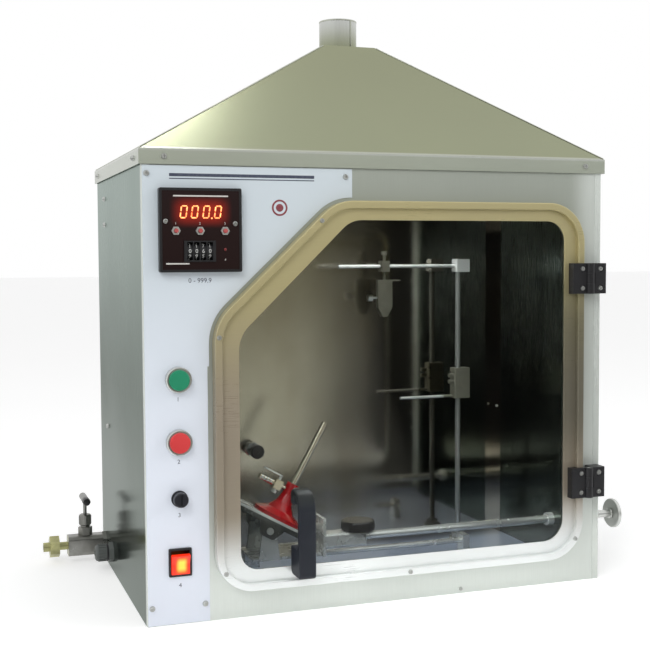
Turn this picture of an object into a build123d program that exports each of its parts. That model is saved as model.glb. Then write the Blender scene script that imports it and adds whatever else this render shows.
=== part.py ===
from build123d import *
import math
import os

# Bench flammability tester: a stainless cabinet with a pyramid fume hood, a glazed
# side-hung door, a control column and a tilting gas burner on a sliding carriage.
# Millimetres. +Z is up, the door faces -Y, the origin is the middle of the footprint.

# ---------------------------------------------------------------- sheets and fits
SHEET = 1.5                # cabinet sheet
THIN_SHEET = 1.2           # liner and partition sheet
FIT = 0.2                  # gap between butted sheets and round fixed inserts
RUN_FIT = 0.05             # radial clearance of a running fit
SCREW_FIT = 0.1            # radial clearance round a screw
LIFT = 0.3                 # gap between pieces that slide or turn over each other

# ---------------------------------------------------------------- cabinet and hood
CABINET_W = 600.0          # outside width, X
CABINET_D = 350.0          # outside depth, Y
CABINET_H = 550.0          # bench to the foot of the pyramid
LEFT, RIGHT = -CABINET_W / 2, CABINET_W / 2
FRONT, BACK = -CABINET_D / 2, CABINET_D / 2
BEND = 2.0                 # outside radius of the walls' front folds
HOOD_SEAT = 0.3            # the walls stop this far below the pyramid
WALL_H = CABINET_H - HOOD_SEAT
FRONT_FLANGE = 10.0        # folded edge of each side wall on the front
BACK_FLANGE = 14.0
PAN_UPSTAND = 15.0
LINER_SPACE = 53.0         # room behind the polished back wall of the chamber
LINER_Y = BACK - LINER_SPACE
LINER_FLANGE = 25.0
LINER_TOP_GAP = 5.0
LINER_TOP = CABINET_H - LINER_TOP_GAP
PARTITION_FOOT = 14.4

SKIRT_H = 18.0
SKIRT_BOTTOM = CABINET_H - SKIRT_H
SKIRT_OVERHANG = 3.0
SKIRT_X, SKIRT_Y = RIGHT + SKIRT_OVERHANG, BACK + SKIRT_OVERHANG
HOOD_TOP_W = 70.0
HOOD_TOP_D = 90.0
HOOD_RISE = 152.0
HOOD_TOP_Z = CABINET_H + HOOD_RISE
CHIMNEY_D = 50.0
CHIMNEY_WALL = 1.2
CHIMNEY_H = 40.0

# ---------------------------------------------------------------- door
DOOR_SIDE_LEFT, DOOR_SIDE_RIGHT = 80.0, 33.0     # cabinet edges to the door
DOOR_BOTTOM, DOOR_TOP_MARGIN = 34.0, 57.0
DOOR_LEFT, DOOR_RIGHT = LEFT + DOOR_SIDE_LEFT, RIGHT - DOOR_SIDE_RIGHT
DOOR_TOP = CABINET_H - DOOR_TOP_MARGIN
SLANT_W, SLANT_H = 150.0, 142.0                  # the slanted upper left corner
DOOR_KNEE_X, DOOR_KNEE_Z = DOOR_LEFT + SLANT_W, DOOR_TOP - SLANT_H
DOOR_RADII = (45.0, 50.0, 50.0, 55.0, 60.0)      # from lower left, anticlockwise
BAND_LEFT, BAND_RIGHT, BAND_BOTTOM, BAND_TOP = 30.0, 26.0, 24.0, 23.0   # door edge to window
WINDOW_LEFT, WINDOW_RIGHT = DOOR_LEFT + BAND_LEFT, DOOR_RIGHT - BAND_RIGHT
WINDOW_BOTTOM, WINDOW_TOP = DOOR_BOTTOM + BAND_BOTTOM, DOOR_TOP - BAND_TOP
WINDOW_SLANT_W, WINDOW_SLANT_H = 140.0, 136.0
WINDOW_KNEE_X, WINDOW_KNEE_Z = WINDOW_LEFT + WINDOW_SLANT_W, WINDOW_TOP - WINDOW_SLANT_H
WINDOW_RADII = (22.0, 28.0, 25.0, 34.0, 40.0)
OPENING_MARGIN = 4.0       # cabinet opening beyond the window
DOOR_GAP = 1.0             # door edge off the cabinet front
DOOR_DEPTH = 14.0          # height of the pressed rim
RIM_W = 9.0                # width of the pressed rim
BAND_DROP = 6.5            # the flat band lies this far below the rim
GLASS_T = 4.0
GLASS_MARGIN = 8.0         # glass beyond the window
GASKET_W = 3.0
RETAINER_MARGIN = 1.0
SEAL_MARGIN = 6.0          # door seal beyond the window
SEAL_W = 6.0
SEAL_T = 1.2
DOOR_BACK = FRONT - DOOR_GAP
RIM_FACE = DOOR_BACK - DOOR_DEPTH
BAND_FACE = RIM_FACE + BAND_DROP
GLASS_FACE = BAND_FACE + SHEET
RETAINER_FACE = GLASS_FACE + GLASS_T
RETAINER_BACK = RETAINER_FACE + SHEET
RIM_SLANT_SCREW = 176.0    # up the slanted edge from its lower end
RIM_KNEE_SCREW, RIM_CORNER_SCREW = 9.0, 32.0     # degrees round the left knee and the lower corners
BOSS_D = 5.0

# ---------------------------------------------------------------- control panel
PANEL_T = 1.0
PANEL_GAP = 4.0            # control panel off the door
PANEL_EDGE = 1.0
PANEL_COLUMN_W, PANEL_HEAD_W = 73.0, 253.0
PANEL_LEFT, PANEL_TOP = LEFT + PANEL_EDGE, SKIRT_BOTTOM - PANEL_EDGE
PANEL_COLUMN_RIGHT, PANEL_HEAD_RIGHT = PANEL_LEFT + PANEL_COLUMN_W, PANEL_LEFT + PANEL_HEAD_W
PANEL_STEP = 51.0          # the wide head of the panel starts this far below the knee
PANEL_FACE = FRONT - PANEL_T
CONTROL_INSET = 39.0
CONTROL_X = LEFT + CONTROL_INSET
START_Z, STOP_Z, FUSE_Z, SWITCH_Z = 286.0, 213.6, 147.8, 73.5

BEZEL_D, BEZEL_H, BEZEL_CHAMFER = 30.0, 8.0, 1.2
CAP_D, CAP_H, CAP_STEM_D, CAP_TRAVEL, CAP_ROUND = 24.0, 6.0, 12.0, 3.0, 1.2
CAP_FLOOR, STEM_ROOM = 0.4, 1.0                  # under the pressed cap, round its stem
BARREL_D, BARREL_L = 22.0, 24.0
CONTACT_W, CONTACT_H, CONTACT_L = 28.0, 34.0, 22.0
STEM_BORE_L = 20.0

FUSE_FLANGE_D, FUSE_FLANGE_H = 19.0, 3.0
FUSE_BARREL_D, FUSE_BARREL_L, FUSE_BORE_L = 12.5, 34.0, 25.0
FUSE_CAP_D, FUSE_CAP_H, FUSE_CAP_ROUND = 17.0, 10.0, 1.5
FUSE_STEM_D, FUSE_STEM_L = 8.0, 21.6
FUSE_SLOT_W, FUSE_SLOT_H, FUSE_SLOT_DEPTH = 2.0, 12.0, 1.5

SWITCH_W, SWITCH_H, SWITCH_WALL, SWITCH_TILT = 27.0, 33.0, 2.5, 12.0
SWITCH_BEZEL, SWITCH_BODY_L, SWITCH_POCKET = 2.5, 26.0, 16.0
SWITCH_CORNER, SWITCH_PIN_D, SWITCH_PIVOT_DEPTH = 1.5, 3.0, 4.0
ROCKER_HALF, ROCKER_DEPTH, ROCKER_DISH = 11.5, 11.0, 2.5

TIMER_INSET, TIMER_DROP, TIMER_SIZE = 66.5, 92.7, 96.0     # centre from the cabinet's left and top
TIMER_X, TIMER_Z = LEFT + TIMER_INSET, CABINET_H - TIMER_DROP
TIMER_PROUD, TIMER_DEPTH, TIMER_LIP, TIMER_CORNER = 9.0, 78.0, 3.0, 2.0
TIMER_FACE_T = 1.5
TIMER_FACE_Y = PANEL_FACE - TIMER_PROUD
FACE_FLOOR = TIMER_FACE_Y + TIMER_FACE_T
DISPLAY_HALF_W, DISPLAY_Z0, DISPLAY_Z1 = 26.0, 11.0, 31.0
TIMER_KEY_X, TIMER_KEY_Z, TIMER_KEY_D = (-29.4, -1.4, 27.9), -0.8, 5.0
KEY_NUT_AF, KEY_NUT_H, KEY_TRAVEL, KEY_ROUND = 9.0, 2.2, 1.5, 0.8

WHEEL_X, WHEEL_Z, WHEEL_PITCH, WHEEL_D, WHEEL_T = -1.8, -24.0, 7.8, 20.0, 6.2
WHEEL_SIDES, WHEEL_AXLE_D, WHEEL_ROOM = 20, 3.0, 0.4
WHEEL_BLOCK_W, WHEEL_BLOCK_H, WHEEL_BLOCK_L, WHEEL_BLOCK_PROUD = 37.0, 24.0, 28.0, 2.0
WHEEL_BLOCK_FACE = TIMER_FACE_Y - WHEEL_BLOCK_PROUD
WHEEL_BLOCK_BACK = WHEEL_BLOCK_FACE + WHEEL_BLOCK_L
WHEEL_AXIS_Y = WHEEL_BLOCK_FACE + WHEEL_D / 2 + WHEEL_ROOM

# ---------------------------------------------------------------- hinges, handle, catch
HINGE_DROP, HINGE_RISE = 96.0, 99.0              # below the door's top, above its foot
HINGE_Z = (DOOR_TOP - HINGE_DROP, DOOR_BOTTOM + HINGE_RISE)
HINGE_H, HINGE_SEAT, HINGE_SETBACK, HINGE_OFFSET = 39.0, 5.0, 1.0, 5.5
HINGE_FACE_Y = RIM_FACE - HINGE_SEAT
HINGE_AXIS_X, HINGE_AXIS_Y = DOOR_RIGHT + HINGE_OFFSET, HINGE_FACE_Y + HINGE_SETBACK
HINGE_PIN_D, KNUCKLE_D, KNUCKLE_MID, HINGE_GAP = 4.0, 11.0, 13.6, 0.4
HINGE_BLOCK_W, HINGE_LEAF_W, HINGE_CHAMFER = 23.5, 25.0, 1.0       # from the axis outwards
HINGE_SCREW_OUT, HINGE_SCREW_IN, HINGE_SCREW_RISE = 15.0, 11.0, 12.5
HINGE_SINK = 2.0           # screw heads lie this deep in the mouldings

HANDLE_INSET, HANDLE_DROP, HANDLE_H = 71.0, 8.0, 102.5             # from the window's left and foot
HANDLE_X, HANDLE_Z0 = WINDOW_LEFT + HANDLE_INSET, WINDOW_BOTTOM - HANDLE_DROP
HANDLE_Z1 = HANDLE_Z0 + HANDLE_H
HANDLE_W, HANDLE_REACH, HANDLE_BAR = 21.0, 38.0, 8.0
HANDLE_ARCH, HANDLE_ROUND = 23.0, 2.5
LOW_FOOT_H, HIGH_FOOT_H, HIGH_FOOT_REACH = 34.0, 18.5, 8.0
HANDLE_FOOT_Z = (HANDLE_Z0 + LOW_FOOT_H / 2, HANDLE_Z1 - HIGH_FOOT_H / 2)
SPACER_D, SPACER_T = 14.0, 3.0
WASHER_D, WASHER_T = 15.0, 1.6
HANDLE_SCREW_GRIP = 7.0

CATCH_INSET, CATCH_RISE, CATCH_W, CATCH_H = 11.5, 176.0, 8.0, 70.0
CATCH_X, CATCH_Z = DOOR_LEFT + CATCH_INSET, DOOR_BOTTOM + CATCH_RISE
CATCH_NOSE, CATCH_SHELL, CATCH_SIDE, CATCH_END = 6.0, 12.0, 2.0, 6.0

# ---------------------------------------------------------------- gas line and mains gland
VALVE_INSET, VALVE_Z, VALVE_STEM_OUT = 25.0, 24.0, 28.5
VALVE_Y, VALVE_STEM_X = BACK - VALVE_INSET, LEFT - VALVE_STEM_OUT
VALVE_BODY_L, VALVE_BODY_W, VALVE_BODY_H, VALVE_BODY_ROUND = 48.0, 26.0, 28.0, 6.0
VALVE_FLANGE_AF, VALVE_FLANGE_T = 28.0, 5.0
VALVE_THREAD_D, VALVE_THREAD_L, VALVE_NUT_AF, VALVE_NUT_T = 14.0, 14.0, 22.0, 6.0
BONNET_AF, BONNET_H, PACKING_D, PACKING_H = 17.0, 11.0, 13.0, 2.0
GLAND_NUT_D, GLAND_NUT_H, GLAND_NUT_CHAMFER = 16.5, 16.0, 1.5
VALVE_STEM_D, VALVE_STEM_Z0, VALVE_STEM_Z1, TEE_D, TEE_L = 5.0, 22.0, 64.0, 10.0, 46.0
UNION_NECK_D, UNION_NECK_L, UNION_AF, UNION_L = 11.0, 12.0, 26.0, 13.0
UNION_STUB_D, UNION_STUB_L, UNION_BORE = 13.0, 8.5, 6.0
PIPE_D, PIPE_BEND = 8.0, 13.0
OUTLET_INSET, OUTLET_Z = 98.5, 149.5
OUTLET_X = WINDOW_LEFT + OUTLET_INSET
OUTLET_THREAD_D, OUTLET_THREAD_L, OUTLET_HEX_AF, OUTLET_HEX_T = 10.0, 7.0, 19.0, 7.0
OUTLET_NECK_D, OUTLET_NECK_L, OUTLET_NUT_D, OUTLET_NUT_L = 12.0, 11.0, 19.0, 14.0
OUTLET_BORE = 4.0

MAINS_INSET, MAINS_Z = 90.0, 26.0
MAINS_Y = BACK - MAINS_INSET
MAINS_THREAD_D, MAINS_THREAD_L, MAINS_HEX_AF, MAINS_HEX_T = 16.0, 9.0, 24.0, 5.0
MAINS_DOME_D, MAINS_DOME_L, MAINS_DOME_ROUND, MAINS_BORE = 22.0, 19.0, 4.0, 8.0
MAINS_NUT_AF, MAINS_NUT_T = 22.0, 5.0

# ---------------------------------------------------------------- burner carriage
ROD_INSET, ROD_Z, ROD_D = 120.0, 54.3, 11.0
ROD_Y = FRONT + ROD_INSET
ROD_REACH, ROD_KNOB_D, ROD_KNOB_T, ROD_KNOB_ROUND = 96.0, 42.0, 6.5, 2.0
ROD_KNOB_X = RIGHT + ROD_REACH
BUSH_D, BUSH_L, BUSH_FLANGE_D, BUSH_FLANGE_T = 18.0, 10.0, 28.0, 4.0

BURNER_INSET, BURNER_OFFSET, BURNER_RISE = 88.5, 25.0, 47.9        # middle of the burner's foot
BURNER_X, BURNER_Y = WINDOW_LEFT + BURNER_INSET, ROD_Y + BURNER_OFFSET
CARRIAGE_Z, CARRIAGE_T = 34.0, 3.0
BURNER_Z = CARRIAGE_Z + BURNER_RISE
BURNER_TILT = 29.35        # degrees from upright at rest
FOOT_R, FOOT_T, NECK_R, NECK_H = 34.0, 4.5, 8.5, 50.0
FLARE_R, FLARE_Z, WAIST_R, WAIST_Z = 19.5, 11.5, 11.5, 22.5
NECK_START = 34.0
TUBE_D, TUBE_BORE, TUBE_TOP, TUBE_SEAT, TUBE_FLOOR = 9.0, 7.4, 141.0, 36.0, 8.0
SPUD_Z, SPUD_D, SPUD_LEFT, BARB_D, BARB_L = 40.0, 6.0, -48.0, 8.5, 21.0
COCK_T, COCK_D, COCK_BODY, COCK_BODY_H = -20.0, 4.0, 11.0, 13.0
COCK_LOW, COCK_HIGH, COCK_NUT_D, COCK_NUT_T = 12.0, 13.5, 8.0, 4.0
LEVER_L, LEVER_W, LEVER_WIRE = 28.0, 9.0, 2.0
PLATE_T, PLATE_LEFT, PLATE_RIGHT, PLATE_HALF, PLATE_FLANGE = 2.5, -66.0, 44.0, 35.0, 9.5
PIVOT_T, PIVOT_N, PIVOT_D, PIVOT_HEAD_D, PIVOT_HEAD_T = -12.0, -16.7, 5.0, 9.0, 3.0
EAR_TOP_HALF, EAR_HALF, EAR_DEPTH, EAR_ROUND = 22.0, 10.0, 9.0, 6.0
LUG_T, LUG_FOOT_HALF, LUG_TOP_HALF, LUG_ROUND = 4.0, 14.0, 8.0, 7.0

TILT_RAD = math.radians(BURNER_TILT)
PIVOT_X = BURNER_X + PIVOT_T * math.cos(TILT_RAD) + PIVOT_N * math.sin(TILT_RAD)
PIVOT_Z = BURNER_Z - PIVOT_T * math.sin(TILT_RAD) + PIVOT_N * math.cos(TILT_RAD)

GUIDE_OFFSET, GUIDE_Z, GUIDE_D, GUIDE_INSET = 25.0, 22.0, 8.0, 110.0
GUIDE_Y = BURNER_Y + GUIDE_OFFSET
GUIDE_LEFT, GUIDE_RIGHT = LEFT + GUIDE_INSET, RIGHT - GUIDE_INSET
POST_T, POST_HALF = 10.0, 10.0
CARRIAGE_LEFT, CARRIAGE_RIGHT, CARRIAGE_BACK = 40.5, 56.5, 12.0    # from the burner, from the guide bar
CARRIAGE_X0, CARRIAGE_X1 = BURNER_X - CARRIAGE_LEFT, BURNER_X + CARRIAGE_RIGHT
RUNNER_L, RUNNER_HALF, RUNNER_INSET = 20.0, 9.0, 2.0
UPRIGHT_T, UPRIGHT_RISE = 4.0, 30.0           # the upright stands this far above the rod
CLAMP_L, CLAMP_HALF, CLAMP_LOW, CLAMP_HIGH, CLAMP_ROUND = 57.0, 13.0, 10.0, 8.5, 3.0
CLAMP_X0, CLAMP_X1 = CARRIAGE_X1 + UPRIGHT_T, CARRIAGE_X1 + CLAMP_L
LOCK_INSET, LOCK_D, LOCK_H, LOCK_STEM_D, LOCK_ROUND = 7.0, 44.0, 13.0, 8.0, 2.0
LOCK_X = CLAMP_X1 - LOCK_INSET

# ---------------------------------------------------------------- specimen stand
STAND_INSET, STAND_OFFSET, STAND_D = 85.0, 46.0, 8.0
STAND_X, STAND_Y = RIGHT - STAND_INSET, LINER_Y - STAND_OFFSET
STAND_FOOT_D, STAND_FOOT_H, STAND_NUT_AF, STAND_NUT_H = 26.0, 5.0, 17.0, 6.0
ARM_Z, ARM_D, ARM_REACH, ARM_SEAT = 412.8, 5.0, 189.0, 5.0
HEAD_HALF, HEAD_LEFT, HEAD_RIGHT, HEAD_LOW, HEAD_HIGH = 9.0, 6.0, 16.0, 9.0, 10.0
HEAD_ROOF = 1.8            # sheet left over the top of the rod
STAND_TOP = ARM_Z + HEAD_HIGH - HEAD_ROOF
BLOCK_ROUND = 1.5
CLIP_REACH, CLIP_GAP, CLIP_SHEET, CLIP_SCREW_D = 118.0, 5.0, 2.0, 3.0
CLIP_X = STAND_X - CLIP_REACH
HANGER_HALF_X, HANGER_HALF_Y, HANGER_HALF_Z, HANGER_PIN_D = 6.5, 7.0, 8.0, 4.0
HANGER_CAP_D, HANGER_CAP_H = 9.0, 6.0
JAW_DROP, JAW_HALF, JAW_LEN, JAW_TIP, JAW_TIP_LEFT, JAW_TIP_RIGHT = 19.5, 11.0, 40.0, 54.0, 4.0, 3.0
JAW_TAIL, CLIP_SCREW_Z, CLIP_SCREW_L, CLIP_HEAD_D, CLIP_HEAD_L = 24.0, 26.0, 20.0, 10.0, 7.0
CLIP_SCREW_OUT = 26.0
HOLDER_Z, HOLDER_H, HOLDER_REACH, HOLDER_ROD_D, HOLDER_ROD_RISE = 238.5, 45.0, 93.0, 4.0, 3.0
GRIP_L, GRIP_D, GRIP_Y, GRIP_RISE = 8.0, 6.0, 4.0, (25.0, 34.0)

# ---------------------------------------------------------------- fasteners
SCREW_D, SCREW_HEAD = 3.5, 7.0
DOOR_SCREW_D, DOOR_SCREW_HEAD, LEAF_SCREW_HEAD = 3.0, 6.0, 6.5
HANDLE_SCREW_D, HANDLE_SCREW_HEAD = 5.0, 9.0
HEAD_HEIGHT, RECESS_LENGTH, RECESS_WIDTH, HEAD_TAPER = 0.36, 0.55, 0.13, 18   # of a head, degrees
SKIRT_SCREW_X, SKIRT_SCREW_FRONT, SKIRT_SCREW_BACK = 29.0, 37.0, 27.0         # in from the skirt's corners
PANEL_SCREW_TOP, PANEL_SCREW_LOW, PANEL_SCREW_COLUMN, PANEL_SCREW_HEAD = 9.3, 21.5, 5.5, 8.5
LINER_SCREW_LOW, LINER_SCREW_DROPS = 196.0, (38.0, 73.0)
BACK_SCREW_INSET = 40.0
PAN_SCREW_INSET, PAN_SCREW_Z, PAN_SCREW_D, PAN_SCREW_HEAD = 201.0, 5.6, 3.0, 5.0
FRONTWARD, BACKWARD = (0, -1, 0), (0, 1, 0)
LEFTWARD, RIGHTWARD = (-1, 0, 0), (1, 0, 0)

parts = {}


# ---------------------------------------------------------------- small helpers
def block(x0, x1, y0, y1, z0, z1):
    return Pos((x0 + x1) / 2, (y0 + y1) / 2, (z0 + z1) / 2) * Box(x1 - x0, y1 - y0, z1 - z0)


AXIS_TURN = {"x": Rot(0, 90, 0), "y": Rot(-90, 0, 0), "z": Rot(0, 0, 0)}


def bar(axis, start, length, diameter):
    """A round bar from start, running along +axis."""
    return Pos(*start) * AXIS_TURN[axis] * extrude(Circle(diameter / 2), length)


def hexagon(axis, start, length, across_flats):
    flat = RegularPolygon(across_flats / math.sqrt(3), 6)
    return Pos(*start) * AXIS_TURN[axis] * extrude(flat, length)


def slab(face, y0, y1):
    """A face drawn in X and Z, from y0 in front to y1 behind."""
    return extrude(Plane.XZ.offset(-y1) * face, y1 - y0)


def side_slab(face, x0, x1):
    """A face drawn in Y and Z, from x0 to x1."""
    return extrude(Plane.YZ.offset(x0) * face, x1 - x0)


def polygon(*points):
    return make_face(Polyline(*points, close=True))


def rounded(points, radii):
    return make_face(FilletPolyline(*points, radius=list(radii), close=True))


def spun(*points):
    """A solid of revolution about Z from (radius, height) points."""
    return revolve(Plane.XZ * polygon(*points), Axis.Z)


def pan_screw(at, out, head_d, shank_d, shank_l):
    """A cross-recessed pan head standing on the point at, with its shank behind."""
    head_h = HEAD_HEIGHT * head_d
    recess = Box(RECESS_LENGTH * head_d, RECESS_WIDTH * head_d, head_h)
    head = extrude(Circle(head_d / 2), head_h, taper=HEAD_TAPER)
    head -= Pos(0, 0, head_h) * (recess + Rot(0, 0, 90) * recess)
    shank = bar("z", (0, 0, -shank_l), shank_l, shank_d)
    return Plane(origin=at, z_dir=out) * (head + shank)


def screw_hole(at, out, shank_d, depth):
    hole = Pos(0, 0, -depth) * extrude(Circle(shank_d / 2 + SCREW_FIT), 2 * depth)
    return Plane(origin=at, z_dir=out) * hole


def sink(at, out, head_d):
    """The counterbore that a sunk screw's head lies in."""
    return Plane(origin=at, z_dir=out) * extrude(Circle(head_d / 2 + 2 * FIT), 2 * HINGE_SINK)


def drilled(solid, holes):
    for hole in holes:
        solid = solid - hole
    return solid


# ---------------------------------------------------------------- outlines of the door
def cut_corner(left, right, bottom, top, knee_z, knee_x, radii, grow=0.0):
    """A rounded rectangle whose upper left corner is slanted, optionally grown."""
    points = ((left, bottom), (right, bottom), (right, top), (knee_x, top), (left, knee_z))
    face = rounded(points, radii)
    if grow:
        face = offset(face, amount=grow)
    return face


def rim_screw_points():
    """Five screws along the middle of the pressed rim."""
    inset = RIM_W / 2
    slant = math.atan2(SLANT_H, SLANT_W)
    turn, knee = math.radians(RIM_CORNER_SCREW), math.radians(RIM_KNEE_SCREW)
    r_left, r_right, r_knee = DOOR_RADII[0], DOOR_RADII[1], DOOR_RADII[4]
    knee_z = DOOR_KNEE_Z - r_knee * math.tan((math.pi / 2 - slant) / 2)
    return (
        (DOOR_LEFT + RIM_SLANT_SCREW * math.cos(slant) + inset * math.sin(slant),
         DOOR_KNEE_Z + RIM_SLANT_SCREW * math.sin(slant) - inset * math.cos(slant)),
        (DOOR_LEFT + r_knee - (r_knee - inset) * math.cos(knee),
         knee_z + (r_knee - inset) * math.sin(knee)),
        (DOOR_LEFT + r_left - (r_left - inset) * math.cos(turn),
         DOOR_BOTTOM + r_left - (r_left - inset) * math.sin(turn)),
        ((DOOR_LEFT + DOOR_RIGHT) / 2, DOOR_BOTTOM + inset),
        (DOOR_RIGHT - r_right + (r_right - inset) * math.cos(turn),
         DOOR_BOTTOM + r_right - (r_right - inset) * math.sin(turn)),
    )


def door_shape(grow=0.0):
    return cut_corner(DOOR_LEFT, DOOR_RIGHT, DOOR_BOTTOM, DOOR_TOP, DOOR_KNEE_Z, DOOR_KNEE_X,
                      DOOR_RADII, grow)


def window_shape(grow=0.0):
    return cut_corner(WINDOW_LEFT, WINDOW_RIGHT, WINDOW_BOTTOM, WINDOW_TOP, WINDOW_KNEE_Z,
                      WINDOW_KNEE_X, WINDOW_RADII, grow)


# ---------------------------------------------------------------- where the fasteners go
SKIRT_SCREW_Z = SKIRT_BOTTOM + SKIRT_H / 2
SKIRT_SCREW_XS = (-SKIRT_X + SKIRT_SCREW_X, SKIRT_X - SKIRT_SCREW_X)
SKIRT_SCREW_YS = (-SKIRT_Y + SKIRT_SCREW_FRONT, SKIRT_Y - SKIRT_SCREW_BACK)
WALL_SCREW_X = RIGHT - 0.6 * FRONT_FLANGE
LINER_SCREW_Y = LINER_Y - 0.56 * LINER_FLANGE
LINER_SCREW_ZS = [LINER_TOP - drop for drop in LINER_SCREW_DROPS] + [LINER_SCREW_LOW]
BACK_SCREW_X = RIGHT - 0.55 * BACK_FLANGE
BACK_SCREW_ZS = (BACK_SCREW_INSET, CABINET_H / 2, CABINET_H - BACK_SCREW_INSET)
PANEL_SCREW_POINTS = (
    (-WALL_SCREW_X, PANEL_TOP - PANEL_SCREW_TOP),
    (PANEL_HEAD_RIGHT - PANEL_SCREW_HEAD, PANEL_TOP - PANEL_SCREW_TOP),
    (-WALL_SCREW_X, PANEL_SCREW_LOW),
    (PANEL_COLUMN_RIGHT - PANEL_SCREW_COLUMN, PANEL_SCREW_LOW))
HINGE_SEAT_Y = HINGE_FACE_Y + HINGE_SINK
HINGE_SCREW_ZS = [z + dz for z in HINGE_Z for dz in (-HINGE_SCREW_RISE, HINGE_SCREW_RISE)]

SKIRT_SCREWS = (
    [((x, -SKIRT_Y, SKIRT_SCREW_Z), FRONTWARD) for x in SKIRT_SCREW_XS]
    + [((x, SKIRT_Y, SKIRT_SCREW_Z), BACKWARD) for x in SKIRT_SCREW_XS]
    + [((-SKIRT_X, y, SKIRT_SCREW_Z), LEFTWARD) for y in SKIRT_SCREW_YS]
    + [((SKIRT_X, y, SKIRT_SCREW_Z), RIGHTWARD) for y in SKIRT_SCREW_YS]
)
PANEL_SCREWS = [((x, PANEL_FACE, z), FRONTWARD) for x, z in PANEL_SCREW_POINTS]
LINER_SCREWS = (
    [((LEFT, LINER_SCREW_Y, z), LEFTWARD) for z in LINER_SCREW_ZS]
    + [((RIGHT, LINER_SCREW_Y, z), RIGHTWARD) for z in (LINER_SCREW_ZS[0], LINER_SCREW_LOW)]
)
BACK_SCREWS = [((x, BACK, z), BACKWARD) for x in (-BACK_SCREW_X, BACK_SCREW_X) for z in BACK_SCREW_ZS]
PAN_SCREWS = [((RIGHT - PAN_SCREW_INSET, FRONT, PAN_SCREW_Z), FRONTWARD)]
HINGE_SCREWS = [((HINGE_AXIS_X + HINGE_SCREW_OUT, HINGE_SEAT_Y, z), FRONTWARD) for z in HINGE_SCREW_ZS]
LEAF_SCREWS = [((HINGE_AXIS_X - HINGE_SCREW_IN, HINGE_SEAT_Y, z), FRONTWARD) for z in HINGE_SCREW_ZS]
DOOR_RIM_SCREWS = [((x, RIM_FACE, z), FRONTWARD) for x, z in rim_screw_points()]
SKIRT_SHANK = SKIRT_OVERHANG + SHEET
PANEL_SHANK = PANEL_T + 2 * SHEET
WALL_SHANK = 2 * SHEET + THIN_SHEET
PAN_SHANK = 3 * SHEET
HINGE_SHANK = FRONT - HINGE_SEAT_Y + SHEET
LEAF_SHANK = BAND_FACE - HINGE_SEAT_Y - SHEET
RIM_SHANK = RETAINER_FACE - RIM_FACE


# ---------------------------------------------------------------- cabinet sheets
def side_wall():
    """The left wall, folded in at the front and, one sheet deep, at the back."""
    inner = LEFT + SHEET
    profile = polygon((LEFT, FRONT), (LEFT + FRONT_FLANGE, FRONT), (LEFT + FRONT_FLANGE, FRONT + SHEET),
                      (inner, FRONT + SHEET), (inner, BACK - 2 * SHEET),
                      (LEFT + BACK_FLANGE, BACK - 2 * SHEET), (LEFT + BACK_FLANGE, BACK - SHEET),
                      (inner, BACK - SHEET), (inner, BACK), (LEFT, BACK))
    wall = extrude(profile, WALL_H)
    outer_fold = wall.edges().filter_by(Axis.Z).sort_by_distance((LEFT, FRONT, WALL_H / 2))[0]
    return fillet(outer_fold, BEND)


def wall_holes():
    holes = [screw_hole(*s, SCREW_D, SKIRT_SHANK) for s in SKIRT_SCREWS]
    holes += [screw_hole(*s, SCREW_D, PANEL_SHANK) for s in PANEL_SCREWS]
    holes += [screw_hole(*s, SCREW_D, WALL_SHANK) for s in LINER_SCREWS + BACK_SCREWS]
    holes += [screw_hole(*s, SCREW_D, HINGE_SHANK) for s in HINGE_SCREWS]
    holes += [screw_hole(*s, PAN_SCREW_D, PAN_SHANK) for s in PAN_SCREWS]
    return holes


def panel_cutouts():
    """What the front sheet and the control panel are both cut for."""
    reach = 4 * SHEET
    y0, y1 = PANEL_FACE - reach, FRONT + reach
    body = TIMER_SIZE - 2 * TIMER_LIP + 2 * FIT
    cuts = [block(TIMER_X - body / 2, TIMER_X + body / 2, y0, y1, TIMER_Z - body / 2, TIMER_Z + body / 2)]
    cuts += [bar("y", (CONTROL_X, y0, z), y1 - y0, BARREL_D + 2 * FIT) for z in (START_Z, STOP_Z)]
    cuts += [bar("y", (CONTROL_X, y0, FUSE_Z), y1 - y0, FUSE_BARREL_D + 2 * FIT)]
    half_w = SWITCH_W / 2 - SWITCH_WALL / 2 + FIT
    half_h = SWITCH_H / 2 - SWITCH_WALL / 2 + FIT
    cuts += [block(CONTROL_X - half_w, CONTROL_X + half_w, y0, y1, SWITCH_Z - half_h, SWITCH_Z + half_h)]
    return cuts


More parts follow.
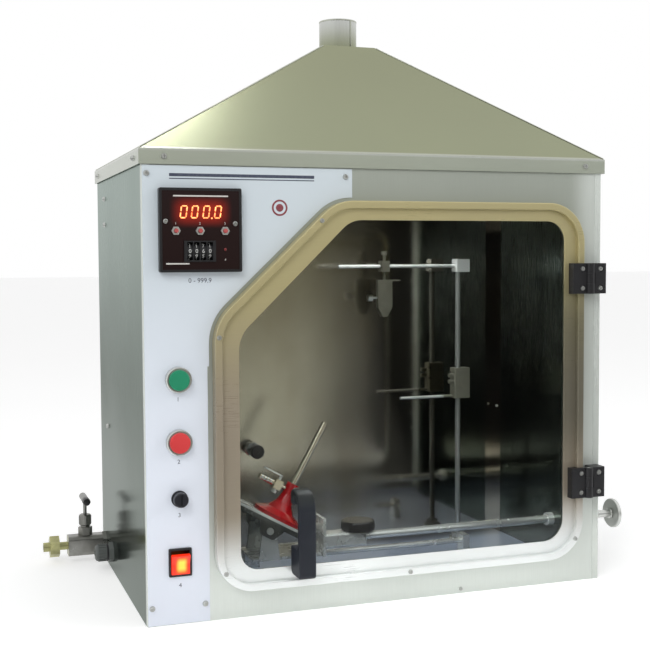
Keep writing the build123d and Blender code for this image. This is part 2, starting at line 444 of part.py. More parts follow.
def make_cabinet():
    holes = wall_holes()
    edge = RIGHT - SHEET
    base = block(-edge, edge, FRONT + SHEET, BACK - 2 * SHEET, 0, SHEET)
    base += block(-edge, edge, FRONT + SHEET, FRONT + 2 * SHEET, 0, PAN_UPSTAND)
    base += block(-edge, edge, BACK - 3 * SHEET, BACK - 2 * SHEET, 0, PAN_UPSTAND)
    parts["base_pan"] = drilled(base, [screw_hole(*s, PAN_SCREW_D, PAN_SHANK) for s in PAN_SCREWS])

    valve_hole = bar("x", (LEFT - SHEET, VALVE_Y, VALVE_Z), 3 * SHEET, VALVE_THREAD_D + 2 * FIT)
    mains_hole = bar("x", (LEFT - SHEET, MAINS_Y, MAINS_Z), 3 * SHEET, MAINS_THREAD_D + 2 * FIT)
    bush_hole = bar("x", (RIGHT - 2 * SHEET, ROD_Y, ROD_Z), 3 * SHEET, BUSH_D + 2 * FIT)
    left = side_wall()
    parts["left_side"] = drilled(left, holes + [valve_hole, mains_hole])
    parts["right_side"] = drilled(mirror(left, about=Plane.YZ), holes + [bush_hole])

    front_x = RIGHT - FRONT_FLANGE - FIT
    front = block(-front_x, front_x, FRONT, FRONT + SHEET, 0, WALL_H)
    front -= slab(window_shape(OPENING_MARGIN), FRONT - SHEET, FRONT + 2 * SHEET)
    front -= block(CATCH_X - CATCH_W / 2 - FIT, CATCH_X + CATCH_W / 2 + FIT, FRONT - SHEET,
                   FRONT + 2 * SHEET, CATCH_Z - CATCH_H / 2 - FIT, CATCH_Z + CATCH_H / 2 + FIT)
    parts["front_frame"] = drilled(front, holes + panel_cutouts())

    parts["back_panel"] = drilled(block(-edge + FIT, edge - FIT, BACK - SHEET, BACK, 0, WALL_H), holes)

    liner = block(-edge, edge, LINER_Y, LINER_Y + THIN_SHEET, SHEET, LINER_TOP)
    for x0, x1 in ((-edge, -edge + THIN_SHEET), (edge - THIN_SHEET, edge)):
        liner += block(x0, x1, LINER_Y - LINER_FLANGE, LINER_Y, SHEET, LINER_TOP)
    outlet_hole = bar("y", (OUTLET_X, LINER_Y - SHEET, OUTLET_Z), 3 * SHEET, OUTLET_THREAD_D + 2 * FIT)
    parts["back_liner"] = drilled(liner, holes + [outlet_hole])
    parts["partition"] = partition()


def partition():
    """The bent wall between the control column and the chamber, on a folded foot."""
    away = OPENING_MARGIN + 3.5 * SHEET
    x = WINDOW_LEFT - away
    knee_z = WINDOW_KNEE_Z + 0.4 * away
    slope = WINDOW_SLANT_H / WINDOW_SLANT_W
    top_x = WINDOW_KNEE_X - away
    top_knee_z = knee_z + slope * (top_x - x)
    right_edge = [(x, SHEET), (x, knee_z), (top_x, top_knee_z), (top_x, LINER_TOP)]
    left_edge = [(px - THIN_SHEET, pz) for px, pz in reversed(right_edge)]
    y0 = FRONT + 2 * SHEET
    wall = slab(polygon(*right_edge, *left_edge), y0, LINER_Y)
    return wall + block(x - PARTITION_FOOT, x, y0, LINER_Y, SHEET, SHEET + THIN_SHEET)


# ---------------------------------------------------------------- hood and chimney
def frustum(z0, z1, inset_x, inset_y):
    """A slice of the hood's pyramid, with its four faces moved in."""
    def rectangle(z):
        share = (z - CABINET_H) / HOOD_RISE
        half_x = SKIRT_X + share * (HOOD_TOP_W / 2 - SKIRT_X) - inset_x
        half_y = SKIRT_Y + share * (HOOD_TOP_D / 2 - SKIRT_Y) - inset_y
        return Pos(0, 0, z) * Rectangle(2 * half_x, 2 * half_y)
    return loft([rectangle(z0), rectangle(z1)])


def make_hood():
    inset_x = SHEET / math.sin(math.atan2(HOOD_RISE, SKIRT_X - HOOD_TOP_W / 2))
    inset_y = SHEET / math.sin(math.atan2(HOOD_RISE, SKIRT_Y - HOOD_TOP_D / 2))
    hood = frustum(CABINET_H, HOOD_TOP_Z, 0, 0)
    hood -= frustum(CABINET_H, HOOD_TOP_Z - SHEET, inset_x, inset_y)
    skirt = Rectangle(2 * SKIRT_X, 2 * SKIRT_Y) - Rectangle(2 * (SKIRT_X - SHEET), 2 * (SKIRT_Y - SHEET))
    hood += Pos(0, 0, SKIRT_BOTTOM) * extrude(skirt, SKIRT_H)
    hood -= bar("z", (0, 0, HOOD_TOP_Z - 2 * SHEET), 4 * SHEET, CHIMNEY_D - 2 * CHIMNEY_WALL)
    parts["hood"] = drilled(hood, [screw_hole(*s, SCREW_D, SKIRT_SHANK) for s in SKIRT_SCREWS])
    ring = Circle(CHIMNEY_D / 2) - Circle(CHIMNEY_D / 2 - CHIMNEY_WALL)
    parts["chimney"] = Pos(0, 0, HOOD_TOP_Z) * extrude(ring, CHIMNEY_H)


def make_cabinet_screws():
    screws = [pan_screw(*s, SCREW_HEAD, SCREW_D, SKIRT_SHANK) for s in SKIRT_SCREWS]
    screws += [pan_screw(*s, SCREW_HEAD, SCREW_D, PANEL_SHANK) for s in PANEL_SCREWS]
    screws += [pan_screw(*s, SCREW_HEAD, SCREW_D, WALL_SHANK) for s in LINER_SCREWS + BACK_SCREWS]
    screws += [pan_screw(*s, SCREW_HEAD, SCREW_D, HINGE_SHANK) for s in HINGE_SCREWS]
    screws += [pan_screw(*s, PAN_SCREW_HEAD, PAN_SCREW_D, PAN_SHANK) for s in PAN_SCREWS]
    parts["cabinet_screws"] = screws


# ---------------------------------------------------------------- control panel
def make_control_panel():
    column = polygon((PANEL_LEFT, PANEL_EDGE), (PANEL_COLUMN_RIGHT, PANEL_EDGE),
                     (PANEL_COLUMN_RIGHT, PANEL_TOP), (PANEL_LEFT, PANEL_TOP))
    step = DOOR_KNEE_Z - PANEL_STEP
    head = polygon((PANEL_LEFT, step), (PANEL_HEAD_RIGHT, step), (PANEL_HEAD_RIGHT, PANEL_TOP),
                   (PANEL_LEFT, PANEL_TOP))
    plate = slab(column + head - door_shape(PANEL_GAP), PANEL_FACE, FRONT)
    holes = [screw_hole(*s, SCREW_D, PANEL_SHANK) for s in PANEL_SCREWS]
    parts["control_panel"] = drilled(plate, holes + panel_cutouts())


def wheel_block_box(grow):
    x, z = TIMER_X + WHEEL_X, TIMER_Z + WHEEL_Z
    w, h = WHEEL_BLOCK_W / 2 + grow, WHEEL_BLOCK_H / 2 + grow
    return block(x - w, x + w, WHEEL_BLOCK_FACE, WHEEL_BLOCK_BACK + grow, z - h, z + h)


def make_timer():
    x, z, half = TIMER_X, TIMER_Z, TIMER_SIZE / 2
    front = Pos(x, z) * RectangleRounded(TIMER_SIZE, TIMER_SIZE, TIMER_CORNER)
    bezel = slab(front, TIMER_FACE_Y, PANEL_FACE)
    inner = half - TIMER_LIP
    body = block(x - inner, x + inner, PANEL_FACE, PANEL_FACE + TIMER_DEPTH, z - inner, z + inner)
    recess = block(x - inner, x + inner, TIMER_FACE_Y, FACE_FLOOR, z - inner, z + inner)
    keys = [(x + kx, z + TIMER_KEY_Z) for kx in TIMER_KEY_X]
    bores = [bar("y", (kx, TIMER_FACE_Y, kz), TIMER_PROUD + SHEET, TIMER_KEY_D + 2 * RUN_FIT)
             for kx, kz in keys]
    parts["timer_case"] = drilled(bezel + body - recess, bores + [wheel_block_box(FIT)])

    edge = inner - FIT
    face = block(x - edge, x + edge, TIMER_FACE_Y, FACE_FLOOR, z - edge, z + edge)
    display = block(x - DISPLAY_HALF_W, x + DISPLAY_HALF_W, TIMER_FACE_Y, TIMER_FACE_Y + TIMER_FACE_T / 2,
                    z + DISPLAY_Z0, z + DISPLAY_Z1)
    key_holes = [bar("y", (kx, TIMER_FACE_Y - FIT, kz), 2 * TIMER_FACE_T, TIMER_KEY_D + 2 * FIT)
                 for kx, kz in keys]
    parts["timer_face"] = drilled(face - display, key_holes + [wheel_block_box(FIT)])

    nuts = []
    for kx, kz in keys:
        nut = hexagon("y", (kx, TIMER_FACE_Y - KEY_NUT_H, kz), KEY_NUT_H, KEY_NUT_AF)
        hole = bar("y", (kx, TIMER_FACE_Y - 2 * KEY_NUT_H, kz), 3 * KEY_NUT_H, TIMER_KEY_D + 2 * FIT)
        nuts.append(nut - hole)
    parts["key_nuts"] = nuts
    key_start = TIMER_FACE_Y - KEY_NUT_H - 2 * KEY_TRAVEL
    for name, (kx, kz) in zip(("timer_key_left", "timer_key_middle", "timer_key_right"), keys):
        key = bar("y", (kx, key_start, kz), KEY_NUT_H + 2 * KEY_TRAVEL + TIMER_PROUD / 2, TIMER_KEY_D)
        parts[name] = fillet(key.edges().group_by(Axis.Y)[0], KEY_ROUND)
    make_thumbwheels()


def make_thumbwheels():
    z = TIMER_Z + WHEEL_Z
    centres = [TIMER_X + WHEEL_X + (i - 1.5) * WHEEL_PITCH for i in range(4)]
    housing = wheel_block_box(0)
    for x in centres:
        half = WHEEL_T / 2 + FIT
        housing -= block(x - half, x + half, WHEEL_BLOCK_FACE, WHEEL_AXIS_Y + WHEEL_D / 2 + WHEEL_ROOM,
                         z - WHEEL_D / 2 - WHEEL_ROOM, z + WHEEL_D / 2 + WHEEL_ROOM)
    housing += bar("x", (centres[0] - WHEEL_PITCH / 2, WHEEL_AXIS_Y, z), 4 * WHEEL_PITCH, WHEEL_AXLE_D)
    parts["thumbwheel_housing"] = housing
    bore = WHEEL_AXLE_D + 2 * RUN_FIT
    for i, x in enumerate(centres):
        rim = RegularPolygon(WHEEL_D / 2, WHEEL_SIDES)
        wheel = AXIS_TURN["x"] * extrude(rim - Circle(bore / 2), WHEEL_T)
        parts["thumbwheel_%d" % (i + 1)] = Pos(x - WHEEL_T / 2, WHEEL_AXIS_Y, z) * wheel


def make_push_buttons():
    """Two panel buttons: a bezel, a threaded barrel and a contact block behind each."""
    bodies = []
    x = CONTROL_X
    face, contacts_y = PANEL_FACE - BEZEL_H, PANEL_FACE + BARREL_L
    for name, z in (("start_button", START_Z), ("stop_button", STOP_Z)):
        bezel = bar("y", (x, face, z), BEZEL_H, BEZEL_D)
        bezel = chamfer(bezel.edges().group_by(Axis.Y)[0], BEZEL_CHAMFER)
        barrel = bar("y", (x, PANEL_FACE, z), BARREL_L, BARREL_D)
        contacts = block(x - CONTACT_W / 2, x + CONTACT_W / 2, contacts_y, contacts_y + CONTACT_L,
                         z - CONTACT_H / 2, z + CONTACT_H / 2)
        body = bezel + barrel + contacts
        body -= bar("y", (x, face - SHEET, z), CAP_H + CAP_FLOOR + SHEET, CAP_D + 2 * RUN_FIT)
        body -= bar("y", (x, face, z), STEM_BORE_L, CAP_STEM_D + 2 * STEM_ROOM)
        bodies.append(body)
        cap = bar("y", (x, face - CAP_TRAVEL, z), CAP_H, CAP_D)
        cap = fillet(cap.edges().group_by(Axis.Y)[0], CAP_ROUND)
        cap += bar("y", (x, face - CAP_TRAVEL + CAP_H, z), BEZEL_H, CAP_STEM_D)
        parts[name] = cap
    parts["button_bodies"] = bodies


def make_fuse_holder():
    x, z = CONTROL_X, FUSE_Z
    face = PANEL_FACE - FUSE_FLANGE_H
    body = bar("y", (x, face, z), FUSE_FLANGE_H, FUSE_FLANGE_D)
    body += bar("y", (x, PANEL_FACE, z), FUSE_BARREL_L, FUSE_BARREL_D)
    body -= bar("y", (x, face - SHEET, z), FUSE_BORE_L, FUSE_STEM_D + 2 * RUN_FIT)
    parts["fuse_holder"] = body
    cap_face = face - LIFT - FUSE_CAP_H
    cap = bar("y", (x, cap_face, z), FUSE_CAP_H, FUSE_CAP_D)
    cap = fillet(cap.edges().group_by(Axis.Y)[0], FUSE_CAP_ROUND)
    cap -= block(x - FUSE_SLOT_W / 2, x + FUSE_SLOT_W / 2, cap_face - SHEET, cap_face + FUSE_SLOT_DEPTH,
                 z - FUSE_SLOT_H / 2, z + FUSE_SLOT_H / 2)
    cap += bar("y", (x, face - LIFT, z), FUSE_STEM_L, FUSE_STEM_D)
    parts["fuse_cap"] = cap


def make_rocker_switch():
    x, z = CONTROL_X, SWITCH_Z
    face = PANEL_FACE - SWITCH_BEZEL
    half_w, half_h = SWITCH_W / 2, SWITCH_H / 2
    inner_w, inner_h = half_w - SWITCH_WALL, half_h - SWITCH_WALL
    body_w, body_h = half_w - SWITCH_WALL / 2, half_h - SWITCH_WALL / 2
    pivot_y, pin_d = PANEL_FACE + SWITCH_PIVOT_DEPTH, SWITCH_PIN_D
    bezel = slab(Pos(x, z) * RectangleRounded(SWITCH_W, SWITCH_H, SWITCH_CORNER), face, PANEL_FACE)
    body = block(x - body_w, x + body_w, PANEL_FACE, PANEL_FACE + SWITCH_BODY_L, z - body_h, z + body_h)
    pocket_y = PANEL_FACE + SWITCH_POCKET
    hollow = block(x - inner_w, x + inner_w, face - SHEET, pocket_y, z - inner_h, z + inner_h)
    pin = bar("x", (x - body_w, pivot_y, z), 2 * body_w, pin_d)
    parts["switch_body"] = bezel + body - hollow + pin

    h, d = ROCKER_HALF, ROCKER_DEPTH
    shape = polygon((-d, -h), (-d + ROCKER_DISH, 0), (-d, h), (-d / 2, h), (pin_d, pin_d),
                    (pin_d, -pin_d), (-d / 2, -h))
    width = inner_w - 2 * FIT
    shape = Pos(pivot_y, z) * Rot(0, 0, SWITCH_TILT) * (shape - Circle(pin_d / 2 + RUN_FIT))
    parts["rocker"] = side_slab(shape, x - width, x + width)


# ---------------------------------------------------------------- mains gland and gas
def make_mains_inlet():
    """A cable gland in the left wall: hexagon and dome nut outside, lock nut inside."""
    y, z = MAINS_Y, MAINS_Z
    hex_x = LEFT - MAINS_HEX_T
    dome = bar("x", (hex_x - MAINS_DOME_L, y, z), MAINS_DOME_L, MAINS_DOME_D)
    dome = fillet(dome.edges().group_by(Axis.X)[0], MAINS_DOME_ROUND)
    gland = dome + hexagon("x", (hex_x, y, z), MAINS_HEX_T, MAINS_HEX_AF)
    gland += bar("x", (LEFT, y, z), MAINS_THREAD_L, MAINS_THREAD_D)
    gland += hexagon("x", (LEFT + SHEET, y, z), MAINS_NUT_T, MAINS_NUT_AF)
    length = MAINS_DOME_L + MAINS_HEX_T + MAINS_THREAD_L
    bore = bar("x", (hex_x - MAINS_DOME_L - SHEET, y, z), length + 2 * SHEET, MAINS_BORE)
    parts["mains_inlet"] = gland - bore


def make_valve():
    x, y, z = VALVE_STEM_X, VALVE_Y, VALVE_Z
    flange_x = LEFT - VALVE_FLANGE_T
    top = z + VALVE_BODY_H / 2
    body = Box(VALVE_BODY_L, VALVE_BODY_W, VALVE_BODY_H)
    body = Pos(flange_x - VALVE_BODY_L / 2, y, z) * fillet(body.edges().filter_by(Axis.X), VALVE_BODY_ROUND)
    body += hexagon("x", (flange_x, y, z), VALVE_FLANGE_T, VALVE_FLANGE_AF)
    body += bar("x", (LEFT, y, z), VALVE_THREAD_L, VALVE_THREAD_D)
    body += hexagon("z", (x, y, top), BONNET_H, BONNET_AF)
    body += bar("z", (x, y, top + BONNET_H), PACKING_H, PACKING_D)
    packing_nut = bar("z", (x, y, top + BONNET_H + PACKING_H), GLAND_NUT_H, GLAND_NUT_D)
    body += chamfer(packing_nut.edges().filter_by(GeomType.CIRCLE), GLAND_NUT_CHAMFER)
    body -= bar("z", (x, y, z + VALVE_STEM_Z0 / 2), VALVE_STEM_Z1, VALVE_STEM_D + 2 * RUN_FIT)
    nut = hexagon("x", (LEFT + SHEET, y, z), VALVE_NUT_T, VALVE_NUT_AF)
    nut -= bar("x", (LEFT, y, z), VALVE_THREAD_L, VALVE_THREAD_D)

    x1 = flange_x - VALVE_BODY_L
    union = bar("x", (x1 - UNION_NECK_L, y, z), UNION_NECK_L, UNION_NECK_D)
    union += hexagon("x", (x1 - UNION_NECK_L - UNION_L, y, z), UNION_L, UNION_AF)
    end = x1 - UNION_NECK_L - UNION_L - UNION_STUB_L
    union += bar("x", (end, y, z), UNION_STUB_L, UNION_STUB_D)
    union -= bar("x", (end - SHEET, y, z), UNION_STUB_L + UNION_L + SHEET, UNION_BORE)
    parts["gas_valve"] = [body, nut, union]

    handle = bar("z", (x, y, z + VALVE_STEM_Z0), VALVE_STEM_Z1 - VALVE_STEM_Z0, VALVE_STEM_D)
    handle += bar("y", (x, y - TEE_L / 2, z + VALVE_STEM_Z1), TEE_L, TEE_D)
    parts["valve_handle"] = handle


def make_gas_line():
    path = FilletPolyline((LEFT + VALVE_THREAD_L, VALVE_Y, VALVE_Z), (OUTLET_X, VALVE_Y, VALVE_Z),
                          (OUTLET_X, VALVE_Y, OUTLET_Z),
                          (OUTLET_X, LINER_Y + THIN_SHEET + OUTLET_THREAD_L, OUTLET_Z), radius=PIPE_BEND)
    parts["gas_pipe"] = sweep(Plane(origin=path @ 0, z_dir=path % 0) * Circle(PIPE_D / 2), path)

    x, z = OUTLET_X, OUTLET_Z
    hex_y = LINER_Y - OUTLET_HEX_T
    neck_y = hex_y - OUTLET_NECK_L
    nut_y = neck_y - OUTLET_NUT_L
    outlet = bar("y", (x, hex_y, z), OUTLET_HEX_T + THIN_SHEET + OUTLET_THREAD_L, OUTLET_THREAD_D)
    outlet += hexagon("y", (x, hex_y, z), OUTLET_HEX_T, OUTLET_HEX_AF)
    outlet += bar("y", (x, neck_y, z), OUTLET_NECK_L, OUTLET_NECK_D)
    hose_nut = bar("y", (x, nut_y, z), OUTLET_NUT_L, OUTLET_NUT_D)
    outlet += chamfer(hose_nut.edges().filter_by(GeomType.CIRCLE), GLAND_NUT_CHAMFER)
    outlet -= bar("y", (x, nut_y - SHEET, z), OUTLET_NUT_L + OUTLET_NECK_L + SHEET, OUTLET_BORE)
    parts["outlet_fitting"] = outlet


# ---------------------------------------------------------------- door
def door_ring(outer, inner, y0, y1):
    return slab(outer - inner, y0, y1)


def rim_bosses():
    start = RIM_FACE + SHEET
    return [bar("y", (x, start, z), RETAINER_FACE - start, BOSS_D) for x, z in rim_screw_points()]


def make_door():
    window = window_shape()
    frame = door_ring(door_shape(), door_shape(-SHEET), RIM_FACE, DOOR_BACK)
    frame += door_ring(door_shape(), door_shape(-RIM_W), RIM_FACE, RIM_FACE + SHEET)
    frame += door_ring(door_shape(-RIM_W + SHEET), door_shape(-RIM_W), RIM_FACE, BAND_FACE + SHEET)
    frame += door_ring(door_shape(-RIM_W + SHEET), window, BAND_FACE, GLASS_FACE)
    front_edges = frame.faces().sort_by(Axis.Y)[0].edges()
    frame = fillet(front_edges, 0.95 * SHEET)
    screws = [screw_hole(*s, DOOR_SCREW_D, DOOR_DEPTH) for s in DOOR_RIM_SCREWS]
    leaf_holes = [screw_hole(*s, DOOR_SCREW_D, DOOR_DEPTH) for s in LEAF_SCREWS]
    parts["door_frame"] = drilled(frame, screws + leaf_holes)

    handle_holes = [bar("y", (HANDLE_X, GLASS_FACE - SHEET, z), 3 * GLASS_T, HANDLE_SCREW_D + 2 * FIT)
                    for z in HANDLE_FOOT_Z]
    glass = slab(window_shape(GLASS_MARGIN), GLASS_FACE, RETAINER_FACE)
    parts["door_glass"] = drilled(glass, handle_holes)

    gasket = door_ring(window_shape(GLASS_MARGIN + GASKET_W), window_shape(GLASS_MARGIN),
                       GLASS_FACE, RETAINER_FACE)
    seal = door_ring(window_shape(SEAL_MARGIN + SEAL_W), window_shape(SEAL_MARGIN),
                     RETAINER_BACK, RETAINER_BACK + SEAL_T)
    parts["door_seals"] = [gasket, seal]

    retainer = door_ring(door_shape(-SHEET - FIT), window_shape(RETAINER_MARGIN),
                         RETAINER_FACE, RETAINER_BACK)
    for boss in rim_bosses():
        retainer += boss
    parts["glass_retainer"] = drilled(retainer, screws + leaf_holes)


def make_hinges():
    """Two moulded hinges: cabinet blocks, door leaves and their pins."""
    axis_x, axis_y, radius = HINGE_AXIS_X, HINGE_AXIS_Y, KNUCKLE_D / 2
    blocks, leaves, pins = [], [], []
    cheek = radius - HINGE_SETBACK
    for z in HINGE_Z:
        z0, z1 = z - HINGE_H / 2, z + HINGE_H / 2
        mid0, mid1 = z - KNUCKLE_MID / 2, z + KNUCKLE_MID / 2
        body = block(axis_x + radius + HINGE_GAP, axis_x + HINGE_BLOCK_W, HINGE_FACE_Y, FRONT, z0, z1)
        body = chamfer(body.edges().filter_by(Axis.Z).group_by(Axis.Y)[0], HINGE_CHAMFER)
        for k0, k1 in ((z0, mid0 - FIT), (mid1 + FIT, z1)):
            body += block(axis_x, axis_x + radius + 4 * HINGE_GAP, HINGE_FACE_Y, axis_y + cheek, k0, k1)
            body += bar("z", (axis_x, axis_y, k0), k1 - k0, KNUCKLE_D)
        pin_hole = bar("z", (axis_x, axis_y, z0 - SHEET), HINGE_H + 2 * SHEET, HINGE_PIN_D)
        holes = [screw_hole(*s, SCREW_D, HINGE_SHANK) for s in HINGE_SCREWS]
        holes += [sink(*s, SCREW_HEAD) for s in HINGE_SCREWS]
        blocks.append(drilled(body - pin_hole, holes))

        left = axis_x - HINGE_LEAF_W
        leaf = block(left, axis_x - radius - HINGE_GAP, HINGE_FACE_Y, RIM_FACE, z0, z1)
        leaf += block(left, DOOR_RIGHT - RIM_W - FIT, HINGE_FACE_Y, BAND_FACE, z0, z1)
        leaf += block(axis_x - radius - HINGE_SETBACK, axis_x, HINGE_FACE_Y,
                      axis_y + cheek - HINGE_SETBACK, mid0, mid1)
        leaf += bar("z", (axis_x, axis_y, mid0), mid1 - mid0, KNUCKLE_D)
        leaf -= bar("z", (axis_x, axis_y, mid0 - SHEET), mid1 - mid0 + 2 * SHEET, HINGE_PIN_D + 2 * RUN_FIT)
        holes = [screw_hole(*s, DOOR_SCREW_D, HINGE_SHANK) for s in LEAF_SCREWS]
        holes += [sink(*s, LEAF_SCREW_HEAD) for s in LEAF_SCREWS]
        leaves.append(drilled(leaf, holes))
        pins.append(bar("z", (axis_x, axis_y, z0), HINGE_H, HINGE_PIN_D))
    parts["hinge_blocks"] = blocks
    parts["door_hinge_leaves"] = leaves
    parts["hinge_pins"] = pins


def make_handle():
    """A moulded strap handle with an arched top, its edges rounded."""
    back, front, t = GLASS_FACE - SPACER_T, GLASS_FACE - HANDLE_REACH, HANDLE_BAR
    z0, z1 = HANDLE_Z0, HANDLE_Z1
    arch_z, foot_y = z1 - t, back - HIGH_FOOT_REACH
    low_z, high_z = z0 + LOW_FOOT_H, z1 - HIGH_FOOT_H
    outer = rounded(((back, z0), (front, z0), (front, z1), (back, z1)),
                    (3 * HANDLE_ROUND, 2 * HANDLE_ROUND, HANDLE_ARCH, t))
    inner = rounded(((back + SHEET, low_z), (front + t, low_z), (front + t, arch_z),
                     (foot_y - HANDLE_ROUND, arch_z), (foot_y, high_z), (back + SHEET, high_z)),
                    (0, t, HANDLE_ARCH - t, HANDLE_ROUND / 2, HANDLE_ROUND, 0))
    bow = side_slab(outer - inner, HANDLE_X - HANDLE_W / 2, HANDLE_X + HANDLE_W / 2)
    sides = bow.faces().filter_by(Axis.X)
    bow = fillet(sides.edges(), HANDLE_ROUND)
    screws, spacers, washers = [], [], []
    length = GLASS_T + WASHER_T + SPACER_T + HANDLE_SCREW_GRIP
    for z in HANDLE_FOOT_Z:
        seat = RETAINER_FACE + WASHER_T
        bow -= bar("y", (HANDLE_X, seat - length, z), length, HANDLE_SCREW_D + 2 * SCREW_FIT)
        screws.append(pan_screw((HANDLE_X, seat, z), BACKWARD, HANDLE_SCREW_HEAD, HANDLE_SCREW_D, length))
        hole = bar("y", (HANDLE_X, back - SHEET, z), length, HANDLE_SCREW_D + 2 * FIT)
        spacers.append(bar("y", (HANDLE_X, back, z), SPACER_T, SPACER_D) - hole)
        washers.append(bar("y", (HANDLE_X, RETAINER_FACE, z), WASHER_T, WASHER_D) - hole)
    parts["handle"] = bow
    parts["door_screws"] = screws + spacers + washers + make_door_screws()


def make_door_screws():
    screws = [pan_screw(*s, DOOR_SCREW_HEAD, DOOR_SCREW_D, RIM_SHANK) for s in DOOR_RIM_SCREWS]
    return screws + [pan_screw(*s, LEAF_SCREW_HEAD, DOOR_SCREW_D, LEAF_SHANK) for s in LEAF_SCREWS]


def make_catch():
    x, z = CATCH_X, CATCH_Z
    inside = FRONT + SHEET
    magnet = block(x - CATCH_W / 2, x + CATCH_W / 2, RETAINER_BACK + LIFT, inside + CATCH_NOSE,
                   z - CATCH_H / 2, z + CATCH_H / 2)
    shell = block(x - CATCH_W / 2 - CATCH_SIDE, x + CATCH_W / 2 + CATCH_SIDE, inside, inside + CATCH_SHELL,
                  z - CATCH_H / 2 - CATCH_END, z + CATCH_H / 2 + CATCH_END)
    parts["magnet_catch"] = magnet + shell


# ---------------------------------------------------------------- burner carriage
def lug_ys():
    """Middle of each pivot lug, just inside the tilt plate's flanges."""
    reach = PLATE_HALF - PLATE_T - FIT - LUG_T / 2
    return [BURNER_Y + s * reach for s in (-1, 1)]


def make_carriage():
    """A plate on the guide bar, clamped to the push rod, with two lugs for the tilt plate."""
    y0, y1 = BURNER_Y - PLATE_HALF + PLATE_T + 0.5, GUIDE_Y + CARRIAGE_BACK
    top = CARRIAGE_Z + CARRIAGE_T
    body = block(CARRIAGE_X0, CARRIAGE_X1, y0, y1, CARRIAGE_Z, top)
    runners = (CARRIAGE_X0 + RUNNER_INSET, CARRIAGE_X1 - RUNNER_INSET - RUNNER_L)
    for x in runners:
        body += block(x, x + RUNNER_L, GUIDE_Y - RUNNER_HALF, GUIDE_Y + RUNNER_HALF,
                      GUIDE_Z - RUNNER_HALF, CARRIAGE_Z)
    lug_top = PIVOT_Z + LUG_TOP_HALF
    lug = rounded(((PIVOT_X - LUG_FOOT_HALF, top), (PIVOT_X + LUG_FOOT_HALF, top),
                   (PIVOT_X + LUG_TOP_HALF, lug_top), (PIVOT_X - LUG_TOP_HALF, lug_top)),
                  (0, 0, LUG_ROUND, LUG_ROUND))
    for y in lug_ys():
        body += slab(lug, y - LUG_T / 2, y + LUG_T / 2)
    body += block(CARRIAGE_X1 - UPRIGHT_T, CARRIAGE_X1, ROD_Y - CLAMP_HALF - RUNNER_INSET,
                  GUIDE_Y - RUNNER_INSET, CARRIAGE_Z, ROD_Z + UPRIGHT_RISE)
    clamp = block(CARRIAGE_X1, CLAMP_X1, ROD_Y - CLAMP_HALF, ROD_Y + CLAMP_HALF,
                  ROD_Z - CLAMP_LOW, ROD_Z + CLAMP_HIGH)
    body += fillet(clamp.edges().filter_by(Axis.X), CLAMP_ROUND)
    body -= bar("x", (CLAMP_X0, ROD_Y, ROD_Z), CLAMP_L, ROD_D)
    for x in runners:
        body -= bar("x", (x - SHEET, GUIDE_Y, GUIDE_Z), RUNNER_L + 2 * SHEET, GUIDE_D + 2 * RUN_FIT)
    for y in lug_ys():
        body -= bar("y", (PIVOT_X, y - LUG_T, PIVOT_Z), 2 * LUG_T, PIVOT_D)
    body -= bar("z", (LOCK_X, ROD_Y, ROD_Z), 2 * CLAMP_HIGH, LOCK_STEM_D + 2 * RUN_FIT)
    parts["carriage"] = body
    make_push_rod()
    make_pivot_screws()


def make_push_rod():
    parts["push_rod"] = bar("x", (CLAMP_X0, ROD_Y, ROD_Z), ROD_KNOB_X - CLAMP_X0, ROD_D)
    knob = bar("x", (ROD_KNOB_X, ROD_Y, ROD_Z), ROD_KNOB_T, ROD_KNOB_D)
    parts["disc_knob"] = fillet(knob.edges(), ROD_KNOB_ROUND)

    lock_z, stem_z = ROD_Z + CLAMP_HIGH + LIFT, ROD_Z + ROD_D / 2 + FIT
    lock = bar("z", (LOCK_X, ROD_Y, lock_z), LOCK_H, LOCK_D)
    lock = fillet(lock.edges().group_by(Axis.Z)[-1], LOCK_ROUND)
    lock += bar("z", (LOCK_X, ROD_Y, stem_z), lock_z - stem_z + LIFT, LOCK_STEM_D)
    parts["lock_knob"] = lock

    bush = bar("x", (RIGHT, ROD_Y, ROD_Z), BUSH_FLANGE_T, BUSH_FLANGE_D)
    bush += bar("x", (RIGHT - BUSH_L, ROD_Y, ROD_Z), BUSH_L, BUSH_D)
    length = BUSH_L + BUSH_FLANGE_T + 2 * SHEET
    bore = bar("x", (RIGHT - BUSH_L - SHEET, ROD_Y, ROD_Z), length, ROD_D + 2 * RUN_FIT)
    parts["rod_bush"] = bush - bore

    guide = bar("x", (GUIDE_LEFT, GUIDE_Y, GUIDE_Z), GUIDE_RIGHT - GUIDE_LEFT, GUIDE_D)
    rail = [guide]
    for x in (GUIDE_LEFT, GUIDE_RIGHT - POST_T):
        post = block(x, x + POST_T, GUIDE_Y - POST_HALF, GUIDE_Y + POST_HALF, SHEET, GUIDE_Z + RUNNER_HALF)
        rail.append(post - guide)
    parts["guide_rail"] = rail


def make_pivot_screws():
    """A shouldered screw through each lug and flange, with its head outside."""
    pins = []
    length = LUG_T + FIT + PLATE_T + FIT
    for y, out in zip(lug_ys(), (-1, 1)):
        inner = y - out * LUG_T / 2
        start = min(inner, inner + out * length)
        pin = bar("y", (PIVOT_X, start, PIVOT_Z), length, PIVOT_D)
        head = min(inner + out * length, inner + out * (length + PIVOT_HEAD_T))
        pins.append(pin + bar("y", (PIVOT_X, head, PIVOT_Z), PIVOT_HEAD_T, PIVOT_HEAD_D))
    parts["pivot_screws"] = pins


# ---------------------------------------------------------------- burner
TILT = Plane(origin=(BURNER_X, BURNER_Y, BURNER_Z)).location * Rot(0, BURNER_TILT, 0)


